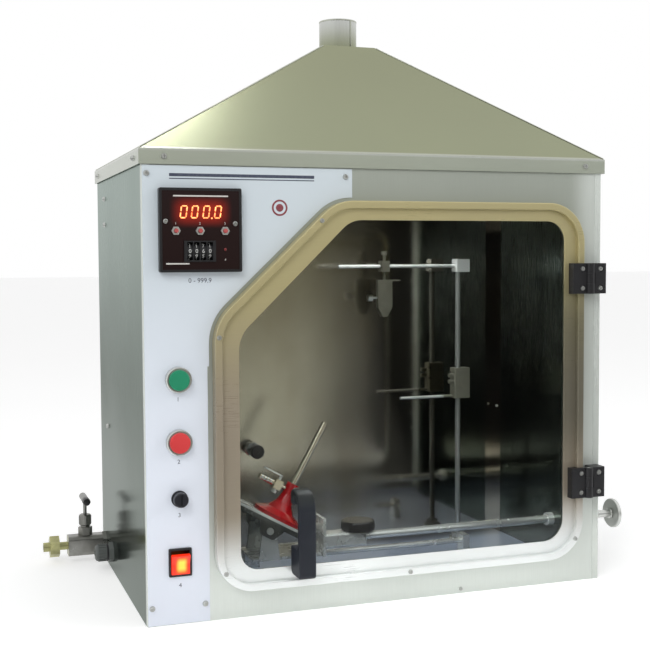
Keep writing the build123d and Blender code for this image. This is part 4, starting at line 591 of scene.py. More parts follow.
def smooth_metal(name, tint, roughness, wear=0.25, specks=0.0, metal=1.0):
    """Turned or plated metal with light handling marks."""
    made = Finish(name)
    patches = made.patches(60.0, 2.2)
    tone = made.mix(made.times(patches, wear), tint, darker(tint, 0.45))
    if specks:
        pits = made.use("Specks", Vector=made.place, Count=420.0, Amount=specks)
        tone = made.mix(made.times(pits, 0.6), tone, (0.06, 0.05, 0.04))
    made.paint(tone)
    made.rough(made.scaled(patches, 0.12, roughness))
    made.bump(made.grain(fineness=700.0), 0.05)
    return made.set(Metallic=metal).material


def moulded(name, tint, roughness=0.4, texture=0.2, coat=0.0):
    """Moulded plastic or enamel with a faint skin texture."""
    made = Finish(name)
    patches = made.patches(35.0)
    lighter = tuple(min(1.0, v * 1.25 + 0.006) for v in tint)
    made.worn(tint, patches, 0.5, lighter, 0.10, roughness)
    made.bump(made.grain(fineness=1600.0), texture)
    made.set(Metallic=0.0)
    if coat:
        made.set(Coat_Weight=coat, Coat_Roughness=0.08)
    return made.material


def printed(name, tint):
    """Screen-printed ink with a slightly broken cover."""
    made = Finish(name)
    flecks = made.patches(400.0, 1.2)
    made.worn(tint, flecks, 0.18, (0.5, 0.52, 0.56), 0.1, 0.42)
    return made.material


# ------------------------------------------------------------------ operators
class StepOperator:
    bl_options = {"REGISTER", "UNDO"}

    @property
    def steel(self):
        return bpy.context.scene.tester_steel

    @property
    def plastic(self):
        return bpy.context.scene.tester_plastic

    @property
    def prints(self):
        return bpy.context.scene.tester_prints


class TESTER_OT_sheets(StepOperator, bpy.types.Operator):
    """Finish the walls, the hood, the front, the liner and the other folded sheets"""
    bl_idname = "tester.sheets"
    bl_label = "Sheet metal finishes"

    def execute(self, context):
        s = self.steel
        top = HOOD_LOW.z
        dress(["left_side", "right_side", "back_panel"], self.walls(top))
        dress(["hood"], self.hood())
        # Painted reflection: the chimney lightens from the hood's tone at its foot to bright steel at
        # its top
        dress(["chimney"], sheet_steel("Chimney steel", s.hood_low, s.bright, CHIMNEY_LOW.z,
                                       CHIMNEY_HIGH.z, ALONG_Z, 0.3, 0.25))
        dress(["front_frame"], self.front())
        dress(["door_frame"], self.door())
        # Painted reflection: the inner sheets are darker low and lighter high, like the walls
        dress(["partition", "glass_retainer", "magnet_catch"],
              sheet_steel("Inner steel", s.wall_bottom, s.wall_top, 0.0, top, ALONG_Z, 0.34, 0.3))
        dress(["base_pan"], self.floor_pan())
        dress(["back_liner"], self.liner())
        return {"FINISHED"}

    def front(self):
        """Brushed front sheet with painted reflection that makes it lighter at its foot and beside the
        hinges, and painted shade on its inner faces.
        """
        s = self.steel
        made = Finish("Front steel")
        # Painted reflection: lighter towards the bench, darker towards the hood
        tone = made.mix(made.ramp("Z", 0.02, 0.40), s.front_bottom, s.front_top)
        # Painted reflection: a lighter strip beside the hinges
        beside = made.times(made.ramp("X", 0.25, 0.285), 0.8)
        tone = made.mix(beside, tone, s.front_bottom)
        # Painted shade: every face behind the front face, such as the returns round the openings, is
        # nearly black
        inside = made.ramp("Y", FRONT_LOW.y + 0.4 * MM, FRONT_LOW.y + 0.9 * MM)
        tone = made.mix(inside, tone, darker(s.dull, 0.15))
        return rolled(made, tone, ALONG_Z, 0.38, 0.12, 0.45)

    def floor_pan(self):
        """Base pan, plain at its front and much darker towards the back."""
        s = self.steel
        made = Finish("Base pan steel")
        tone = made.mix(made.ramp("Z", 0.004, 0.02), s.pan, s.wall_bottom)
        # Darker towards the back wall, low on the pan
        smoked = made.times(made.ramp("Y", 0.07, 0.12), made.ramp("Z", 0.03, 0.02))
        tone = made.mix(smoked, tone, darker(s.pan, 0.12))
        return rolled(made, tone, ALONG_X, 0.3, 0.25, 0.6)

    def walls(self, top):
        """Satin side sheets, darker towards the bench and lighter towards the hood as painted
        reflection, whose front folds take the front sheet's pale foot tone as a painted highlight.
        """
        s = self.steel
        made = Finish("Satin wall steel")
        # Painted highlight: the front folds take the pale tone of the front sheet's foot
        fold = made.ramp("Y", FRONT_LOW.y + 8 * MM, FRONT_LOW.y + 4 * MM)
        # Painted reflection: darker towards the bench, lighter towards the hood
        tone = made.mix(made.ramp("Z", 0.20, top), s.wall_bottom, s.wall_top)
        satin = made.scaled(made.ramp("Z", 0.12, 0.30), 0.14, 0.13)
        made.set(Specular_Tint=(0.53, 0.56, 0.54, 1.0))
        return rolled(made, made.mix(fold, tone, s.front_bottom), ALONG_Z, satin, 0.18,
                      made.scaled(fold, -0.7, 1.0))

    def hood(self):
        """Khaki slopes with a painted reflection that darkens a little on the way up, a painted
        highlight along the fold at the foot and a satin skirt painted lighter than the slopes as painted
        light.
        """
        s = self.steel
        made = Finish("Hood steel")
        slope_foot = HOOD_LOW.z + SKIRT_HEIGHT
        skirt = made.ramp("Z", slope_foot + 0.5 * MM, slope_foot - 1 * MM)
        # Painted reflection: the slopes darken a little on the way up
        tone = made.mix(made.ramp("Z", slope_foot, HOOD_HIGH.z), s.hood_low, s.hood_high)
        # Painted light: the skirt is lighter than the slopes
        tone = made.mix(skirt, tone, s.skirt)
        # Painted highlight: a pale band along the fold at the foot of the slopes
        painted_fold_highlight = made.times(made.near("Z", slope_foot, 0.5 * MM, 3 * MM), 0.55)
        tone = made.mix(painted_fold_highlight, tone, s.bright)
        return rolled(made, tone, ALONG_X, 0.2, 0.16, made.scaled(skirt, -0.5, 0.95), 3.5)

    def door(self):
        """Painted reflection over the pressed door: golden at its top, dark beside the hinges and
        clearing to white at its foot.
        """
        s = self.steel
        made = Finish("Door steel")
        # Painted reflection: white at the foot, pale gold in the middle and golden at the top
        tone = made.mix(made.ramp("Z", 0.05, 0.13), s.band_bottom, s.band_left)
        tone = made.mix(made.ramp("Z", 0.24, 0.40), tone, s.band_top)
        # Painted reflection: a dark patch on the hinge side at mid height
        right = made.times(made.ramp("X", 0.18, 0.25), made.near("Z", 0.28, 0.05, 0.17))
        tone = made.mix(made.times(right, 0.7), tone, s.band_right)
        return rolled(made, tone, ALONG_X, 0.3, 0.12, 0.4)

    def liner(self):
        """Bright sheet brushed sideways, dulled by smoke on the burner's side."""
        s = self.steel
        made = Finish("Brushed liner steel")
        patches = made.patches(6.0, 2.2)
        streaks = made.grain((1.0, 1.0, 0.10), 26.0)
        stain = made.times(made.times(patches, streaks), 1.1, clamp=True)
        made.paint(made.mix(stain, s.liner, s.liner_stain))
        smoked = made.times(made.ramp("X", 0.13, 0.07), 0.12)
        made.rough(made.math("ADD", smoked, made.scaled(patches, 0.05, 0.05)))
        made.bump(made.grain((0.02, 1.0, 1.0), 1100.0), 0.06)
        return made.set(Metallic=1.0).material


class TESTER_OT_hood_seams(StepOperator, bpy.types.Operator):
    """Add the folded seams of the hood and the seam, rim and weld of the chimney"""
    bl_idname = "tester.hood_seams"
    bl_label = "Hood seams"

    def execute(self, context):
        s = self.steel
        skirt_top = HOOD_LOW.z + SKIRT_HEIGHT
        crown = Vector((CROWN_X, CROWN_Y, HOOD_HIGH.z))
        foot = Vector((HOOD_HIGH.x, HOOD_HIGH.y, skirt_top))
        seams = []
        for index, (sx, sy) in enumerate(((1, 1), (1, -1), (-1, 1), (-1, -1))):
            start = Vector((foot.x * sx, foot.y * sy, foot.z))
            end = Vector((crown.x * sx, crown.y * sy, crown.z))
            inward = (end - start).normalized() * 2 * MM
            seams.append(barrel("seam_%d" % index, start + inward, end - start,
                                (end - start).length - 4 * MM, 0.9 * MM, 0.5 * MM, 10))
        tint = tuple(0.5 * (a + b) for a, b in zip(s.hood_low, s.bright))
        metal = smooth_metal("Polished seam", tint, 0.3)
        radius = (CHIMNEY_HIGH.x - CHIMNEY_LOW.x) / 2
        rim = hoop("chimney_rim", (0, 0, CHIMNEY_HIGH.z - 2.2 * MM), UP, radius - 1.2 * MM,
                   1.5 * MM, 2.0 * MM, 0.5 * MM)
        weld = hoop("chimney_weld", (0, 0, CHIMNEY_LOW.z - 0.3 * MM), UP, radius - 0.3 * MM,
                    1.4 * MM, 1.3 * MM, 0.5 * MM)
        seam = block("chimney_seam", (9 * MM, -radius + 0.9 * MM, CHIMNEY_LOW.z + 0.3 * MM),
                     (10.6 * MM, -radius + 2.6 * MM, CHIMNEY_HIGH.z - 1.5 * MM), 0.3 * MM)
        for piece in (joined("hood_seams", seams), rim, weld, seam):
            finish(piece, "cabinet", metal)
        return {"FINISHED"}


class TESTER_OT_bright_parts(StepOperator, bpy.types.Operator):
    """Finish the screws, rods, clamps, mouldings, valve, fittings and burner"""
    bl_idname = "tester.bright_parts"
    bl_label = "Bright parts and mouldings"

    def execute(self, context):
        s, p = self.steel, self.plastic
        for nodes, *look in (
                (("cabinet_screws", "door_screws", "pivot_screws", "key_nuts", "hinge_pins"),
                 "Zinc screws", darker(s.bright, 0.85), 0.3, 0.4, 0.0, 0.7),
                (("rod_bush", "cross_arm", "burner_cock"),
                 "Bright rods", s.bright, 0.12, 0.15, 0.0, 0.5),
                (("stand",), "Stand steel", darker(s.bright, 0.55), 0.14, 0.15, 0.0, 0.7),
                (("push_rod", "guide_rail"), "Polished rods", s.bright, 0.18, 0.15, 0.0, 0.72),
                (("disc_knob",), "Turned knob", s.bright, 0.32, 0.08, 0.0, 0.7),
                (("specimen_clip",), "Smoked clip", darker(s.clamp, 0.5), 0.34, 0.5, 0.06, 0.6),
                (("carriage",), "Carriage steel", s.bright, 0.2, 0.35, 0.04, 0.6),
                (("burner_tube",), "Burner tube", s.burner, 0.12, 0.3, 0.04, 0.95),
                (("valve_handle",), "Valve steel", s.dull, 0.34, 0.5, 0.06),
                (("gas_pipe",), "Drawn copper", (0.55, 0.24, 0.13), 0.3, 0.4),
                (("clip_screw",), "Clip screw", s.bright, 0.25, 0.2)):
            dress(nodes, smooth_metal(*look))
        for nodes, *look in (
                (("burner_foot",), "Red enamel", p.enamel, 0.16, 0.06, 0.4),
                (("hinge_blocks", "door_hinge_leaves"), "Hinge moulding", p.black, 0.42, 0.3),
                (("lock_knob",), "Lock knob", p.black, 0.18, 0.05, 0.6),
                (("door_seals",), "Seal rubber", p.black, 0.7, 0.4),
                (("mains_inlet",), "Gland moulding", p.gland, 0.38, 0.25)):
            dress(nodes, moulded(*look))
        for node, material in (("lower_holder", self.holder()), ("tilt_plate", self.tilt_plate()),
                               ("gas_valve", self.valve_body()), ("outlet_fitting", self.outlet()),
                               ("handle", self.handle())):
            dress([node], material)
        return {"FINISHED"}

    def holder(self):
        """Satin holder block with bright pins towards the specimen."""
        s = self.steel
        made = Finish("Satin holder")
        patches = made.patches(60.0, 2.2)
        pins = made.ramp("X", HOLDER_LOW.x + PINS_FROM, HOLDER_LOW.x + PINS_TO)
        tone = made.mix(pins, darker(s.clamp, 0.75), s.bright)
        made.worn(tone, patches, 0.3, darker(s.clamp, 0.3), 0.12, 0.26)
        return made.set(Metallic=0.5).bump(made.grain(fineness=700.0), 0.05).material

    def outlet(self):
        """Chromed fitting with a black hose nut at its near end."""
        made = Finish("Outlet steel")
        patches = made.patches(60.0, 2.2)
        nut = made.ramp("Y", OUTLET_LOW.y + 14.5 * MM, OUTLET_LOW.y + 13.5 * MM)
        tone = made.mix(nut, self.steel.bright, self.plastic.black)
        made.paint(made.mix(made.times(patches, 0.3), tone, (0.05, 0.05, 0.05)))
        made.rough(made.scaled(nut, 0.2, 0.14))
        made.set(Metallic=made.scaled(nut, -0.8, 0.8))
        return made.bump(made.grain(fineness=700.0), 0.05).material

    def tilt_plate(self):
        """Bright on its top and upper edges, with painted shade on the lower part of its flanges."""
        s = self.steel
        made = Finish("Tilt plate steel")
        patches = made.patches(30.0, 2.0)
        drop = made.scaled(made.axes["X"], BURNER_UP.x, -BURNER_FOOT.dot(BURNER_UP))
        drop = made.scaled(made.axes["Z"], BURNER_UP.z, drop)
        below = made.ramp(drop, -3.0 * MM, -3.6 * MM)
        outer = made.math("SUBTRACT", 1.0, made.near("Y", BURNER_FOOT.y, 33.5 * MM, 34.2 * MM))
        # Painted shade: the flanges below the top are nearly black
        dark = made.times(made.times(outer, below), 0.9)
        tone = made.mix(made.times(patches, 0.25), s.bright, s.dull)
        made.paint(made.mix(dark, tone, (0.03, 0.032, 0.03)))
        made.rough(made.scaled(patches, 0.1, 0.2))
        made.bump(made.grain(ALONG_X, 900.0), 0.08)
        return made.set(Metallic=0.5).material

    def valve_body(self):
        """Cast steel, with the union beyond it in tarnished brass."""
        s, p = self.steel, self.plastic
        made = Finish("Valve body steel")
        patches = made.patches(70.0, 2.2)
        union = made.ramp("X", VALVE_LOW.x + 34.0 * MM, VALVE_LOW.x + 33.0 * MM)
        tone = made.mix(union, s.dull, p.brass)
        made.worn(tone, patches, 0.5, (0.10, 0.095, 0.075), 0.14, 0.26)
        made.bump(made.grain(fineness=900.0), 0.12)
        return made.set(Metallic=1.0).material

    def handle(self):
        """Blue-black moulding, darker and less blue along its arch."""
        p = self.plastic
        _, high, _ = node_box("handle")
        made = Finish("Handle moulding")
        patches = made.patches(40.0)
        arch = made.ramp("Z", high.z - 22 * MM, high.z - 6 * MM)
        tone = made.mix(arch, p.grip, (0.010, 0.013, 0.011))
        made.worn(tone, patches, 0.35, (0.03, 0.034, 0.042), 0.1, 0.44)
        made.bump(made.grain(fineness=1600.0), 0.25)
        return made.set(Metallic=0.0, Specular_IOR_Level=0.3).material


class TESTER_OT_grips(StepOperator, bpy.types.Operator):
    """Add the ribs, threads and sleeves of the valve, gland, outlet, burner and knobs"""
    bl_idname = "tester.grips"
    bl_label = "Grips and threads"

    def execute(self, context):
        s, p = self.steel, self.plastic
        steel = smooth_metal("Ribbed steel", s.dull, 0.3, 0.45, 0.04)
        black = moulded("Black grip", p.black, 0.34, 0.2)
        brass = smooth_metal("Worn brass", p.brass, 0.26, 0.4, 0.04)
        packing = (LEVER_MID.x, LEVER_MID.y, GAS_LINE_Z + 29 * MM)
        finish(ribbed("packing_grip", packing, UP, 12 * MM, 8.2 * MM, 22, 0.45 * MM),
               "cabinet", steel)
        for make, name, reach, *shape in (
                (self.threads, "union_thread", 33.2 * MM, 11.4 * MM, 5.6 * MM, 7),
                (hoop, "union_lip", 21.6 * MM, 11.0 * MM, 2.2 * MM, 1.6 * MM, 0.5 * MM),
                (self.threads, "stub_rings", 7.6 * MM, 6.0 * MM, 6.55 * MM, 3)):
            start = (VALVE_LOW.x + reach, LEVER_MID.y, GAS_LINE_Z)
            finish(make(name, start, LEFTWARD, *shape), "cabinet", brass)
        tee_end = (LEVER_MID.x, LEVER_LOW.y - 0.2 * MM, LEVER_HIGH.z - 5 * MM)
        sleeve = barrel("tee_sleeve", tee_end, BACKWARD, 15 * MM, 5.3 * MM, 1.2 * MM)
        finish(sleeve, "valve_handle", black)
        gland = ribbed("gland_grip", (GLAND_LOW.x + 4 * MM, GLAND_MID.y, GLAND_MID.z), RIGHTWARD,
                       10.5 * MM, 11.0 * MM, 18, 0.8 * MM)
        finish(gland, "cabinet", moulded("Ribbed gland", p.gland, 0.4, 0.25))
        washer = hoop("gland_ring", (GLAND_LOW.x + 15 * MM, GLAND_MID.y, GLAND_MID.z), RIGHTWARD,
                      10.6 * MM, 1.3 * MM, 2.4 * MM, 0.4 * MM)
        finish(washer, "cabinet", black)
        hose_nut = ribbed("hose_nut_grip", (OUTLET_MID.x, OUTLET_LOW.y + 1.6 * MM, OUTLET_MID.z),
                          BACKWARD, 10.8 * MM, 9.6 * MM, 14, 0.5 * MM)
        finish(hose_nut, "cabinet", black)
        knob = ribbed("lock_knob_grip", (LOCK_MID.x, LOCK_MID.y, LOCK_HIGH.z - 11.5 * MM), UP,
                      8.5 * MM, 22.0 * MM, 30, 0.6 * MM)
        finish(knob, "lock_knob", moulded("Ribbed lock knob", p.black, 0.2, 0.05, 0.5))
        barb = BURNER_FOOT + BURNER_UP * 40 * MM - BURNER_ALONG * 29 * MM
        rings = self.threads("spud_rings", barb, -BURNER_ALONG, 18 * MM, 4.35 * MM, 4)
        finish(rings, "burner", smooth_metal("Spud rings", s.bright, 0.16, 0.25))
        hub = turned("disc_hub", (DISC_HIGH.x - 0.2 * MM, DISC_MID.y, DISC_MID.z), LEFTWARD,
                     outline((5.2, 6.6), (7.4, 7.2), (7.0, 9.6), (6.0, 10.4)))
        finish(hub, "carriage", smooth_metal("Knob hub", s.bright, 0.28, 0.1))
        return {"FINISHED"}

    def threads(self, name, start, direction, size, radius, turns):
        """Rounded rings side by side along a stem."""
        pitch = size / turns
        profile = [(0.9 * radius, 0.0)]
        for turn in range(turns):
            profile += [(radius, (turn + 0.3) * pitch), (radius, (turn + 0.7) * pitch),
                        (0.9 * radius, (turn + 1) * pitch)]
        return turned(name, start, direction, profile, 32)


class TESTER_OT_door_glass(StepOperator, bpy.types.Operator):
    """Finish the door glass, which lets the lamps shine into the chamber"""
    bl_idname = "tester.door_glass"
    bl_label = "Door glass"

    def execute(self, context):
        made = Finish("Door glass")
        haze = made.patches(4.0, 2.0)
        made.paint(made.mix(haze, (0.90, 0.93, 0.92), (0.84, 0.88, 0.88)))
        made.rough(made.times(haze, 0.01))
        made.set(Metallic=0.0, Transmission_Weight=1.0, IOR=1.25)
        dress(["door_glass"], made.material)
        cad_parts["door_glass"].visible_shadow = False
        return {"FINISHED"}


class TESTER_OT_control_panel(StepOperator, bpy.types.Operator):
    """Finish the control panel and print its plain numbers, rules and red mark"""
    bl_idname = "tester.control_panel"
    bl_label = "Control panel"

    def execute(self, context):
        p, sizes = self.plastic, self.prints
        made = Finish("Panel paint")
        patches = made.patches(9.0, 1.4)
        # Painted light: the panel is darker towards the timer and lighter towards the bench
        tone = made.mix(made.ramp("Z", 0.15, 0.5), p.panel_bottom, p.panel_top)
        made.worn(tone, patches, 0.06, (0.55, 0.58, 0.6), 0.08, 0.36)
        made.bump(made.grain(fineness=500.0), 0.04)
        dress(["control_panel"], made.material)
        ink, red = printed("Dark ink", p.ink), printed("Red ink", p.emblem)
        face = PANEL_LOW.y
        lift = sizes.print_lift
        marks = []
        spots = ((START_MID.x, START_LOW.z), (STOP_MID.x, STOP_LOW.z), (FUSE_MID.x, FUSE_LOW.z),
                 (SWITCH_MID.x, SWITCH_LOW.z))
        for number, (x, low) in enumerate(spots):
            spot = (x, face - lift / 2, low - NUMBER_DROP)
            marks.append(lettering("number_%d" % number, str(number + 1), spot,
                                   sizes.number_height, lift))
        spot = (FASCIA_MID.x, face - lift / 2, FASCIA_LOW.z - TIMER_NUMBER_DROP)
        marks.append(lettering("number_timer", "0 - 999.9", spot, 1.1 * sizes.number_height, lift))
        for name, z, widths in RULES:
            marks.append(block(name, (RULE_LEFT, face - lift, z),
                               (RULE_RIGHT, face + lift, z + widths * sizes.rule_width), 0.04 * MM, 1))
        finish(joined("panel_print", marks), "cabinet", ink)
        finish(self.red_mark(face, lift), "cabinet", red)
        return {"FINISHED"}

    def red_mark(self, face, lift):
        """A plain dot inside a ring."""
        middle = Vector((MARK_X, face + 0.2 * lift, MARK_Z))
        dot = barrel("mark_dot", middle, FRONTWARD, 1.2 * lift, 4.6 * MM, 0.3 * lift, 48)
        ring = hoop("mark_ring", middle, FRONTWARD, 7.4 * MM, 2.2 * MM, 1.2 * lift, 0.3 * lift)
        return joined("red_mark", [dot, ring])


class TESTER_OT_timer(StepOperator, bpy.types.Operator):
    """Finish the timer and add its lit digits, key numbers, lamp and face screws"""
    bl_idname = "tester.timer"
    bl_label = "Timer"

    def execute(self, context):
        p, s, sizes = self.plastic, self.steel, self.prints
        dress(["timer_case", "thumbwheel_housing"], moulded("Timer case moulding", p.black, 0.38, 0.25))
        dress(["timer_face"], self.fascia())
        keys = ("timer_key_left", "timer_key_middle", "timer_key_right")
        dress(keys, moulded("Timer key", (0.42, 0.07, 0.07), 0.3, 0.1, 0.3))
        centre = Vector((FASCIA_MID.x, FASCIA_LOW.y, FASCIA_MID.z))
        self.display(centre, sizes)
        self.thumbwheels()
        white = printed("White ink", (0.62, 0.6, 0.56))
        marks = []
        for number, node in enumerate(keys):
            middle = node_box(node)[2]
            spot = (middle.x, centre.y - 0.05 * MM, middle.z + KEY_NUMBER_RISE)
            marks.append(lettering("key_number_%d" % number, str(number + 1), spot,
                                   SMALL_FIGURE, 0.1 * MM))
        for name, x0, x1, z, wide in (("fascia_rule", -32, 32, 38.0, 1.6),
                                      ("fascia_foot", -41, -14, -39.0, 1.6)):
            low = centre + Vector((x0 * MM, -0.1 * MM, z * MM))
            high = low + Vector(((x1 - x0) * MM, 0.12 * MM, wide * MM))
            marks.append(block(name, low, high, 0.03 * MM, 1))
        spot = centre + Vector((28 * MM, -0.05 * MM, -34 * MM))
        marks.append(lettering("lamp_number", "4", spot, SMALL_FIGURE, 0.1 * MM))
        finish(joined("timer_print", marks), "cabinet", white)
        lamp = turned("timer_lamp", centre + Vector((28 * MM, 0.2 * MM, -22 * MM)), FRONTWARD,
                      outline((1.7, 0.0), (1.7, 0.9), (1.4, 1.5), (0.7, 1.9)), 24)
        finish(lamp, "cabinet", moulded("Dark lamp", (0.16, 0.01, 0.01), 0.15, 0.02, 0.6))
        metal = smooth_metal("Face screws", darker(s.bright, 0.7), 0.3, 0.3)
        for index, (x, z) in enumerate(((-41, 10), (40, 7.5))):
            spot = centre + Vector((x * MM, 0.2 * MM, z * MM))
            screw = turned("face_screw_%d" % index, spot, FRONTWARD,
                           outline((2.9, 0.0), (2.9, 0.8), (2.5, 1.3), (1.6, 1.6)), 28)
            cut_cross(screw, spot + Vector((0, -1.6 * MM, 0)), 3.4 * MM, 0.8 * MM, 0.8 * MM)
            finish(screw, "cabinet", metal)
        return {"FINISHED"}

    def fascia(self):
        """Dark red-black acrylic that glows round the lit digits."""
        made = Finish("Fascia acrylic")
        glow = made.times(made.near("X", FASCIA_MID.x, 16 * MM, 38 * MM),
                         made.near("Z", FASCIA_MID.z + 21 * MM, 3 * MM, 20 * MM))
        patches = made.patches(30.0, 1.5)
        made.paint(made.mix(glow, self.plastic.fascia, (0.10, 0.004, 0.003)))
        made.set(Emission_Color=made.mix(glow, (0.004, 0.0, 0.0), (0.20, 0.010, 0.003)))
        made.rough(made.scaled(patches, 0.08, 0.3))
        return made.set(Emission_Strength=1.0, Metallic=0.0, Specular_IOR_Level=0.3).material

    def display(self, centre, sizes):
        """Four slanted noughts and a point, each a ring of six bevelled bars."""
        height, width, stroke = sizes.digit_height, sizes.digit_width, sizes.digit_stroke
        bars = []
        for digit, x in enumerate(DIGIT_PLACES):
            middle = centre + Vector((x * MM, 0.5 * MM, 20.7 * MM))
            for index, (across, up, upright) in enumerate(
                    ((0, 1, False), (0, -1, False), (-1, 0.5, True), (-1, -0.5, True),
                     (1, 0.5, True), (1, -0.5, True))):
                spot_z = up * (height - stroke) / 2
                spot_x = across * (width - stroke) / 2 + spot_z * math.tan(DIGIT_LEAN)
                long = (height / 2 - 1.3 * stroke) if upright else width - 1.6 * stroke
                bar = added("bar_%d_%d" % (digit, index), "cylinder", vertices=6, radius=stroke / 2,
                            depth=long, location=middle + Vector((spot_x, 0, spot_z)),
                            rotation=(0, DIGIT_LEAN if upright else math.pi / 2, 0))
                bars.append(soften(bar, 0.35 * MM, 2, 50))
        point = centre + Vector((12.6 * MM, 0.5 * MM, 13.6 * MM))
        bars.append(barrel("bar_point", point, FRONTWARD, 0.95 * MM, 0.95 * MM, 0.2 * MM, 20))
        made = Finish("Lit segments")
        flicker = made.patches(260.0, 2.0)
        tone = made.mix(flicker, self.plastic.glow, (1.0, 0.50, 0.18))
        made.rough(made.scaled(flicker, 0.1, 0.3))
        made.set(Base_Color=tone, Emission_Color=tone, Emission_Strength=DIGIT_GLOW)
        finish(joined("timer_digits", bars), "cabinet", made.material)

    def thumbwheels(self):
        """Ten figures round each wheel, set to 0060."""
        ink = printed("Wheel figures", (0.60, 0.60, 0.57))
        wheels = ["thumbwheel_%d" % (number + 1) for number in range(4)]
        dress(wheels, moulded("Wheel moulding", self.plastic.black, 0.5, 0.2))
        for wheel, shown in zip(wheels, (0, 0, 6, 0)):
            low, high, middle = node_box(wheel)
            radius = (high.z - low.z) / 2
            figures = []
            for step in range(10):
                angle = 2 * math.pi * step / 10
                spot = middle + Vector((0, -math.cos(angle), math.sin(angle))) * (radius - 0.12 * MM)
                figures.append(lettering("%s_figure_%d" % (wheel, step), str((shown + step) % 10), spot,
                                         WHEEL_FIGURE, 0.2 * MM, (math.pi / 2 - angle, 0, 0)))
            finish(joined("%s_figures" % wheel, figures), wheel, ink)


class TESTER_OT_controls(StepOperator, bpy.types.Operator):
    """Finish the buttons, the fuse and the lit switch"""
    bl_idname = "tester.controls"
    bl_label = "Controls"

    def execute(self, context):
        p, s = self.plastic, self.steel
        dress(["start_button"], moulded("Green cap", p.green, 0.34, 0.1, 0.25))
        dress(["stop_button"], moulded("Red cap", p.red, 0.34, 0.1, 0.25))
        dress(["button_bodies"], smooth_metal("Button bezel", darker(s.bright, 0.92), 0.3, 0.1))
        dress(["fuse_holder", "fuse_cap"], moulded("Fuse moulding", FUSE_TINT, 0.3, 0.15))
        dress(["switch_body"], moulded("Switch moulding", p.black, 0.35, 0.2))
        dress(["rocker"], self.lit_rocker())
        return {"FINISHED"}

    def lit_rocker(self):
        """A lens that is bright amber in its middle and deep red towards its edge."""
        made = Finish("Lit rocker")
        core = made.times(made.near("X", ROCKER_MID.x + 1 * MM, 2 * MM, 8 * MM),
                         made.near("Z", ROCKER_MID.z - 1 * MM, 3 * MM, 11 * MM))
        tone = made.mix(core, (0.62, 0.02, 0.005), (1.0, 0.42, 0.05))
        made.rough(made.scaled(core, -0.08, 0.28))
        return made.set(Base_Color=tone, Emission_Color=tone, Emission_Strength=ROCKER_GLOW).material


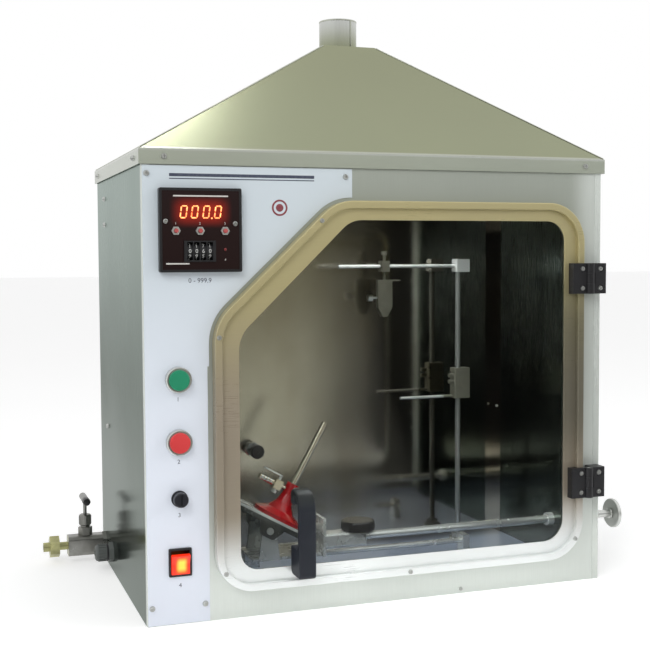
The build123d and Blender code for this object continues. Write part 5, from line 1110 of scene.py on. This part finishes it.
class TESTER_OT_stage(bpy.types.Operator):
    """Lay the floor, set the lamps, the cards and the world, and place the camera"""
    bl_idname = "tester.stage"
    bl_label = "Stage"

    def execute(self, context):
        scene = context.scene
        look = scene.tester_stage
        scene.view_settings.view_transform = "Standard"
        self.floor()
        self.far_card(look)
        self.near_card(look)
        self.world(scene, look)
        for settings in LAMPS:
            self.lamp(*settings)
        self.camera(scene, look)
        return {"FINISHED"}

    def plane(self, name, low, high, upright):
        """A flat sheet between two corners, lying down or facing along Y."""
        clear_selection()
        low, high = Vector(low), Vector(high)
        size = high - low
        bpy.ops.mesh.primitive_plane_add(size=1.0, location=(low + high) / 2,
                                         rotation=(math.pi / 2 if upright else 0, 0, 0))
        piece = bpy.context.object
        piece.scale = (size.x, size.z if upright else size.y, 1.0)
        return settle(piece, name)

    def floor(self):
        corner = Vector((FLOOR_REACH, FLOOR_REACH, 0))
        floor = self.plane("floor", -corner, corner, False)
        made = Finish("Pale floor")
        mottle = made.patches(1.5, 1.0)
        made.paint(made.mix(mottle, (0.86, 0.86, 0.86), (0.89, 0.89, 0.89)))
        made.rough(0.9)
        made.set(Emission_Strength=made.times(seen(made.tree), FLOOR_GLOW),
                 Emission_Color=(1.0, 1.0, 1.0, 1.0))
        floor.data.materials.append(made.material)

    def glowing(self, card, made, tone):
        """Gives a card its glow and hides it from the camera and from matt surfaces."""
        made.set(Base_Color=(0.0, 0.0, 0.0, 1.0), Roughness=1.0, Specular_IOR_Level=0.0,
                 Emission_Color=tone, Emission_Strength=1.0)
        card.data.materials.append(made.material)
        card.visible_camera = False
        card.visible_diffuse = False
        card.visible_shadow = False

    def far_card(self, look):
        """A dusky wall behind the camera that fills the mirrors of the chamber."""
        card = self.plane("far_card", (CARD_LEFT, CARD_Y, 0.0), (CARD_RIGHT, CARD_Y, CARD_TOP), True)
        made = Finish("Far card")
        dusk = made.mix(made.ramp("Z", 0.0, 0.45), look.dusk_low, look.dusk_high)
        lit = made.times(made.ramp("X", -0.10, 0.10), made.ramp("X", 0.93, 0.86))
        tone = made.mix(lit, look.night, dusk)
        tone = made.mix(made.ramp("Z", 0.62, 0.74), tone, PAPER)
        self.glowing(card, made, tone)

    def near_card(self, look):
        """A dark mat in front of the part, clear of its foot, seen only in mirrors."""
        card = self.plane("near_card", (CARD_LEFT, CARD_Y, MAT_LIFT),
                          (CARD_RIGHT, MAT_NEAR_Y, MAT_LIFT), False)
        made = Finish("Near card")
        across, away = made.axes["X"], made.axes["Y"]
        right = made.math("ADD", across, made.scaled(away, *MAT_RIGHT_EDGE))
        left = made.math("ADD", across, made.scaled(away, *MAT_LEFT_EDGE))
        lit = made.times(made.ramp(right, -0.05, -0.12), made.ramp(left, -0.20, -0.05))
        tone = made.mix(lit, look.night, look.dusk_low)
        tone = made.mix(made.ramp("Y", -0.62, -0.46), tone, PAPER)
        self.glowing(card, made, tone)

    def world(self, scene, look):
        """White to the camera, to mirrors and to panes, and a softer room to matt surfaces."""
        world = bpy.data.worlds.new("Studio")
        world.use_nodes = True
        scene.world = world
        tree = world.node_tree
        room = tree.nodes["Background"].inputs
        plug(tree, (1.0, 1.0, 1.0, 1.0), room["Color"])
        strength = math_node(tree, "MULTIPLY_ADD", seen(tree), 1.0 - look.room_light, look.room_light)
        plug(tree, strength, room["Strength"])

    def lamp(self, name, place, target, size, power, mirrored):
        light = bpy.data.lights.new(name, "AREA")
        light.size = size
        light.energy = power
        lamp = bpy.data.objects.new(name, light)
        lamp.location = place
        lamp.rotation_euler = (Vector(target) - Vector(place)).to_track_quat("-Z", "Y").to_euler()
        lamp.visible_glossy = mirrored
        bpy.context.scene.collection.objects.link(lamp)

    def camera(self, scene, look):
        yaw, pitch, roll = look.camera_yaw, look.camera_pitch, look.camera_roll
        forward = Vector((math.sin(yaw) * math.cos(pitch), math.cos(yaw) * math.cos(pitch),
                          math.sin(pitch)))
        right = Vector((math.cos(yaw), -math.sin(yaw), 0.0))
        up = right.cross(forward)
        turned_right = math.cos(roll) * right + math.sin(roll) * up
        turned_up = math.cos(roll) * up - math.sin(roll) * right
        turn = Matrix((turned_right, turned_up, -forward)).transposed().to_4x4()
        camera = bpy.data.objects.new("Camera", bpy.data.cameras.new("Camera"))
        camera.data.sensor_width = SENSOR_WIDTH
        camera.data.lens = look.focal_pixels * SENSOR_WIDTH / PICTURE_PIXELS
        camera.matrix_world = Matrix.Translation(Vector(look.camera_place)) @ turn
        scene.collection.objects.link(camera)
        scene.camera = camera


STEPS = (TESTER_OT_sheets, TESTER_OT_hood_seams, TESTER_OT_bright_parts, TESTER_OT_grips,
         TESTER_OT_door_glass, TESTER_OT_control_panel, TESTER_OT_timer, TESTER_OT_controls,
         TESTER_OT_stage)
SETTINGS = {"tester_steel": SteelColours, "tester_plastic": PlasticColours,
            "tester_prints": PrintSizes, "tester_stage": StageSettings}


class TESTER_PT_panel(bpy.types.Panel):
    """Lists the steps that dress the tester"""
    bl_idname = "TESTER_PT_panel"
    bl_label = "Flammability tester"
    bl_space_type = "VIEW_3D"
    bl_region_type = "UI"
    bl_category = "Tester"

    def draw(self, context):
        for step in STEPS:
            self.layout.operator(step.bl_idname)
        for name, settings in SETTINGS.items():
            box = self.layout.box()
            for label in settings.__annotations__:
                box.prop(getattr(context.scene, name), label)


def register():
    for item in (*SETTINGS.values(), *STEPS, TESTER_PT_panel):
        bpy.utils.register_class(item)
    for name, settings in SETTINGS.items():
        setattr(bpy.types.Scene, name, bpy.props.PointerProperty(type=settings))


def unregister():
    for name in SETTINGS:
        delattr(bpy.types.Scene, name)
    for item in reversed((*SETTINGS.values(), *STEPS, TESTER_PT_panel)):
        bpy.utils.unregister_class(item)


def main():
    register()
    for build in (grain_group, cloud_group, ramp_group, speck_group):
        tree = build()
        GROUPS[tree.name] = tree
    for step in STEPS:
        area, name = step.bl_idname.split(".")
        getattr(getattr(bpy.ops, area), name)()


if __name__ == "__main__":
    main()
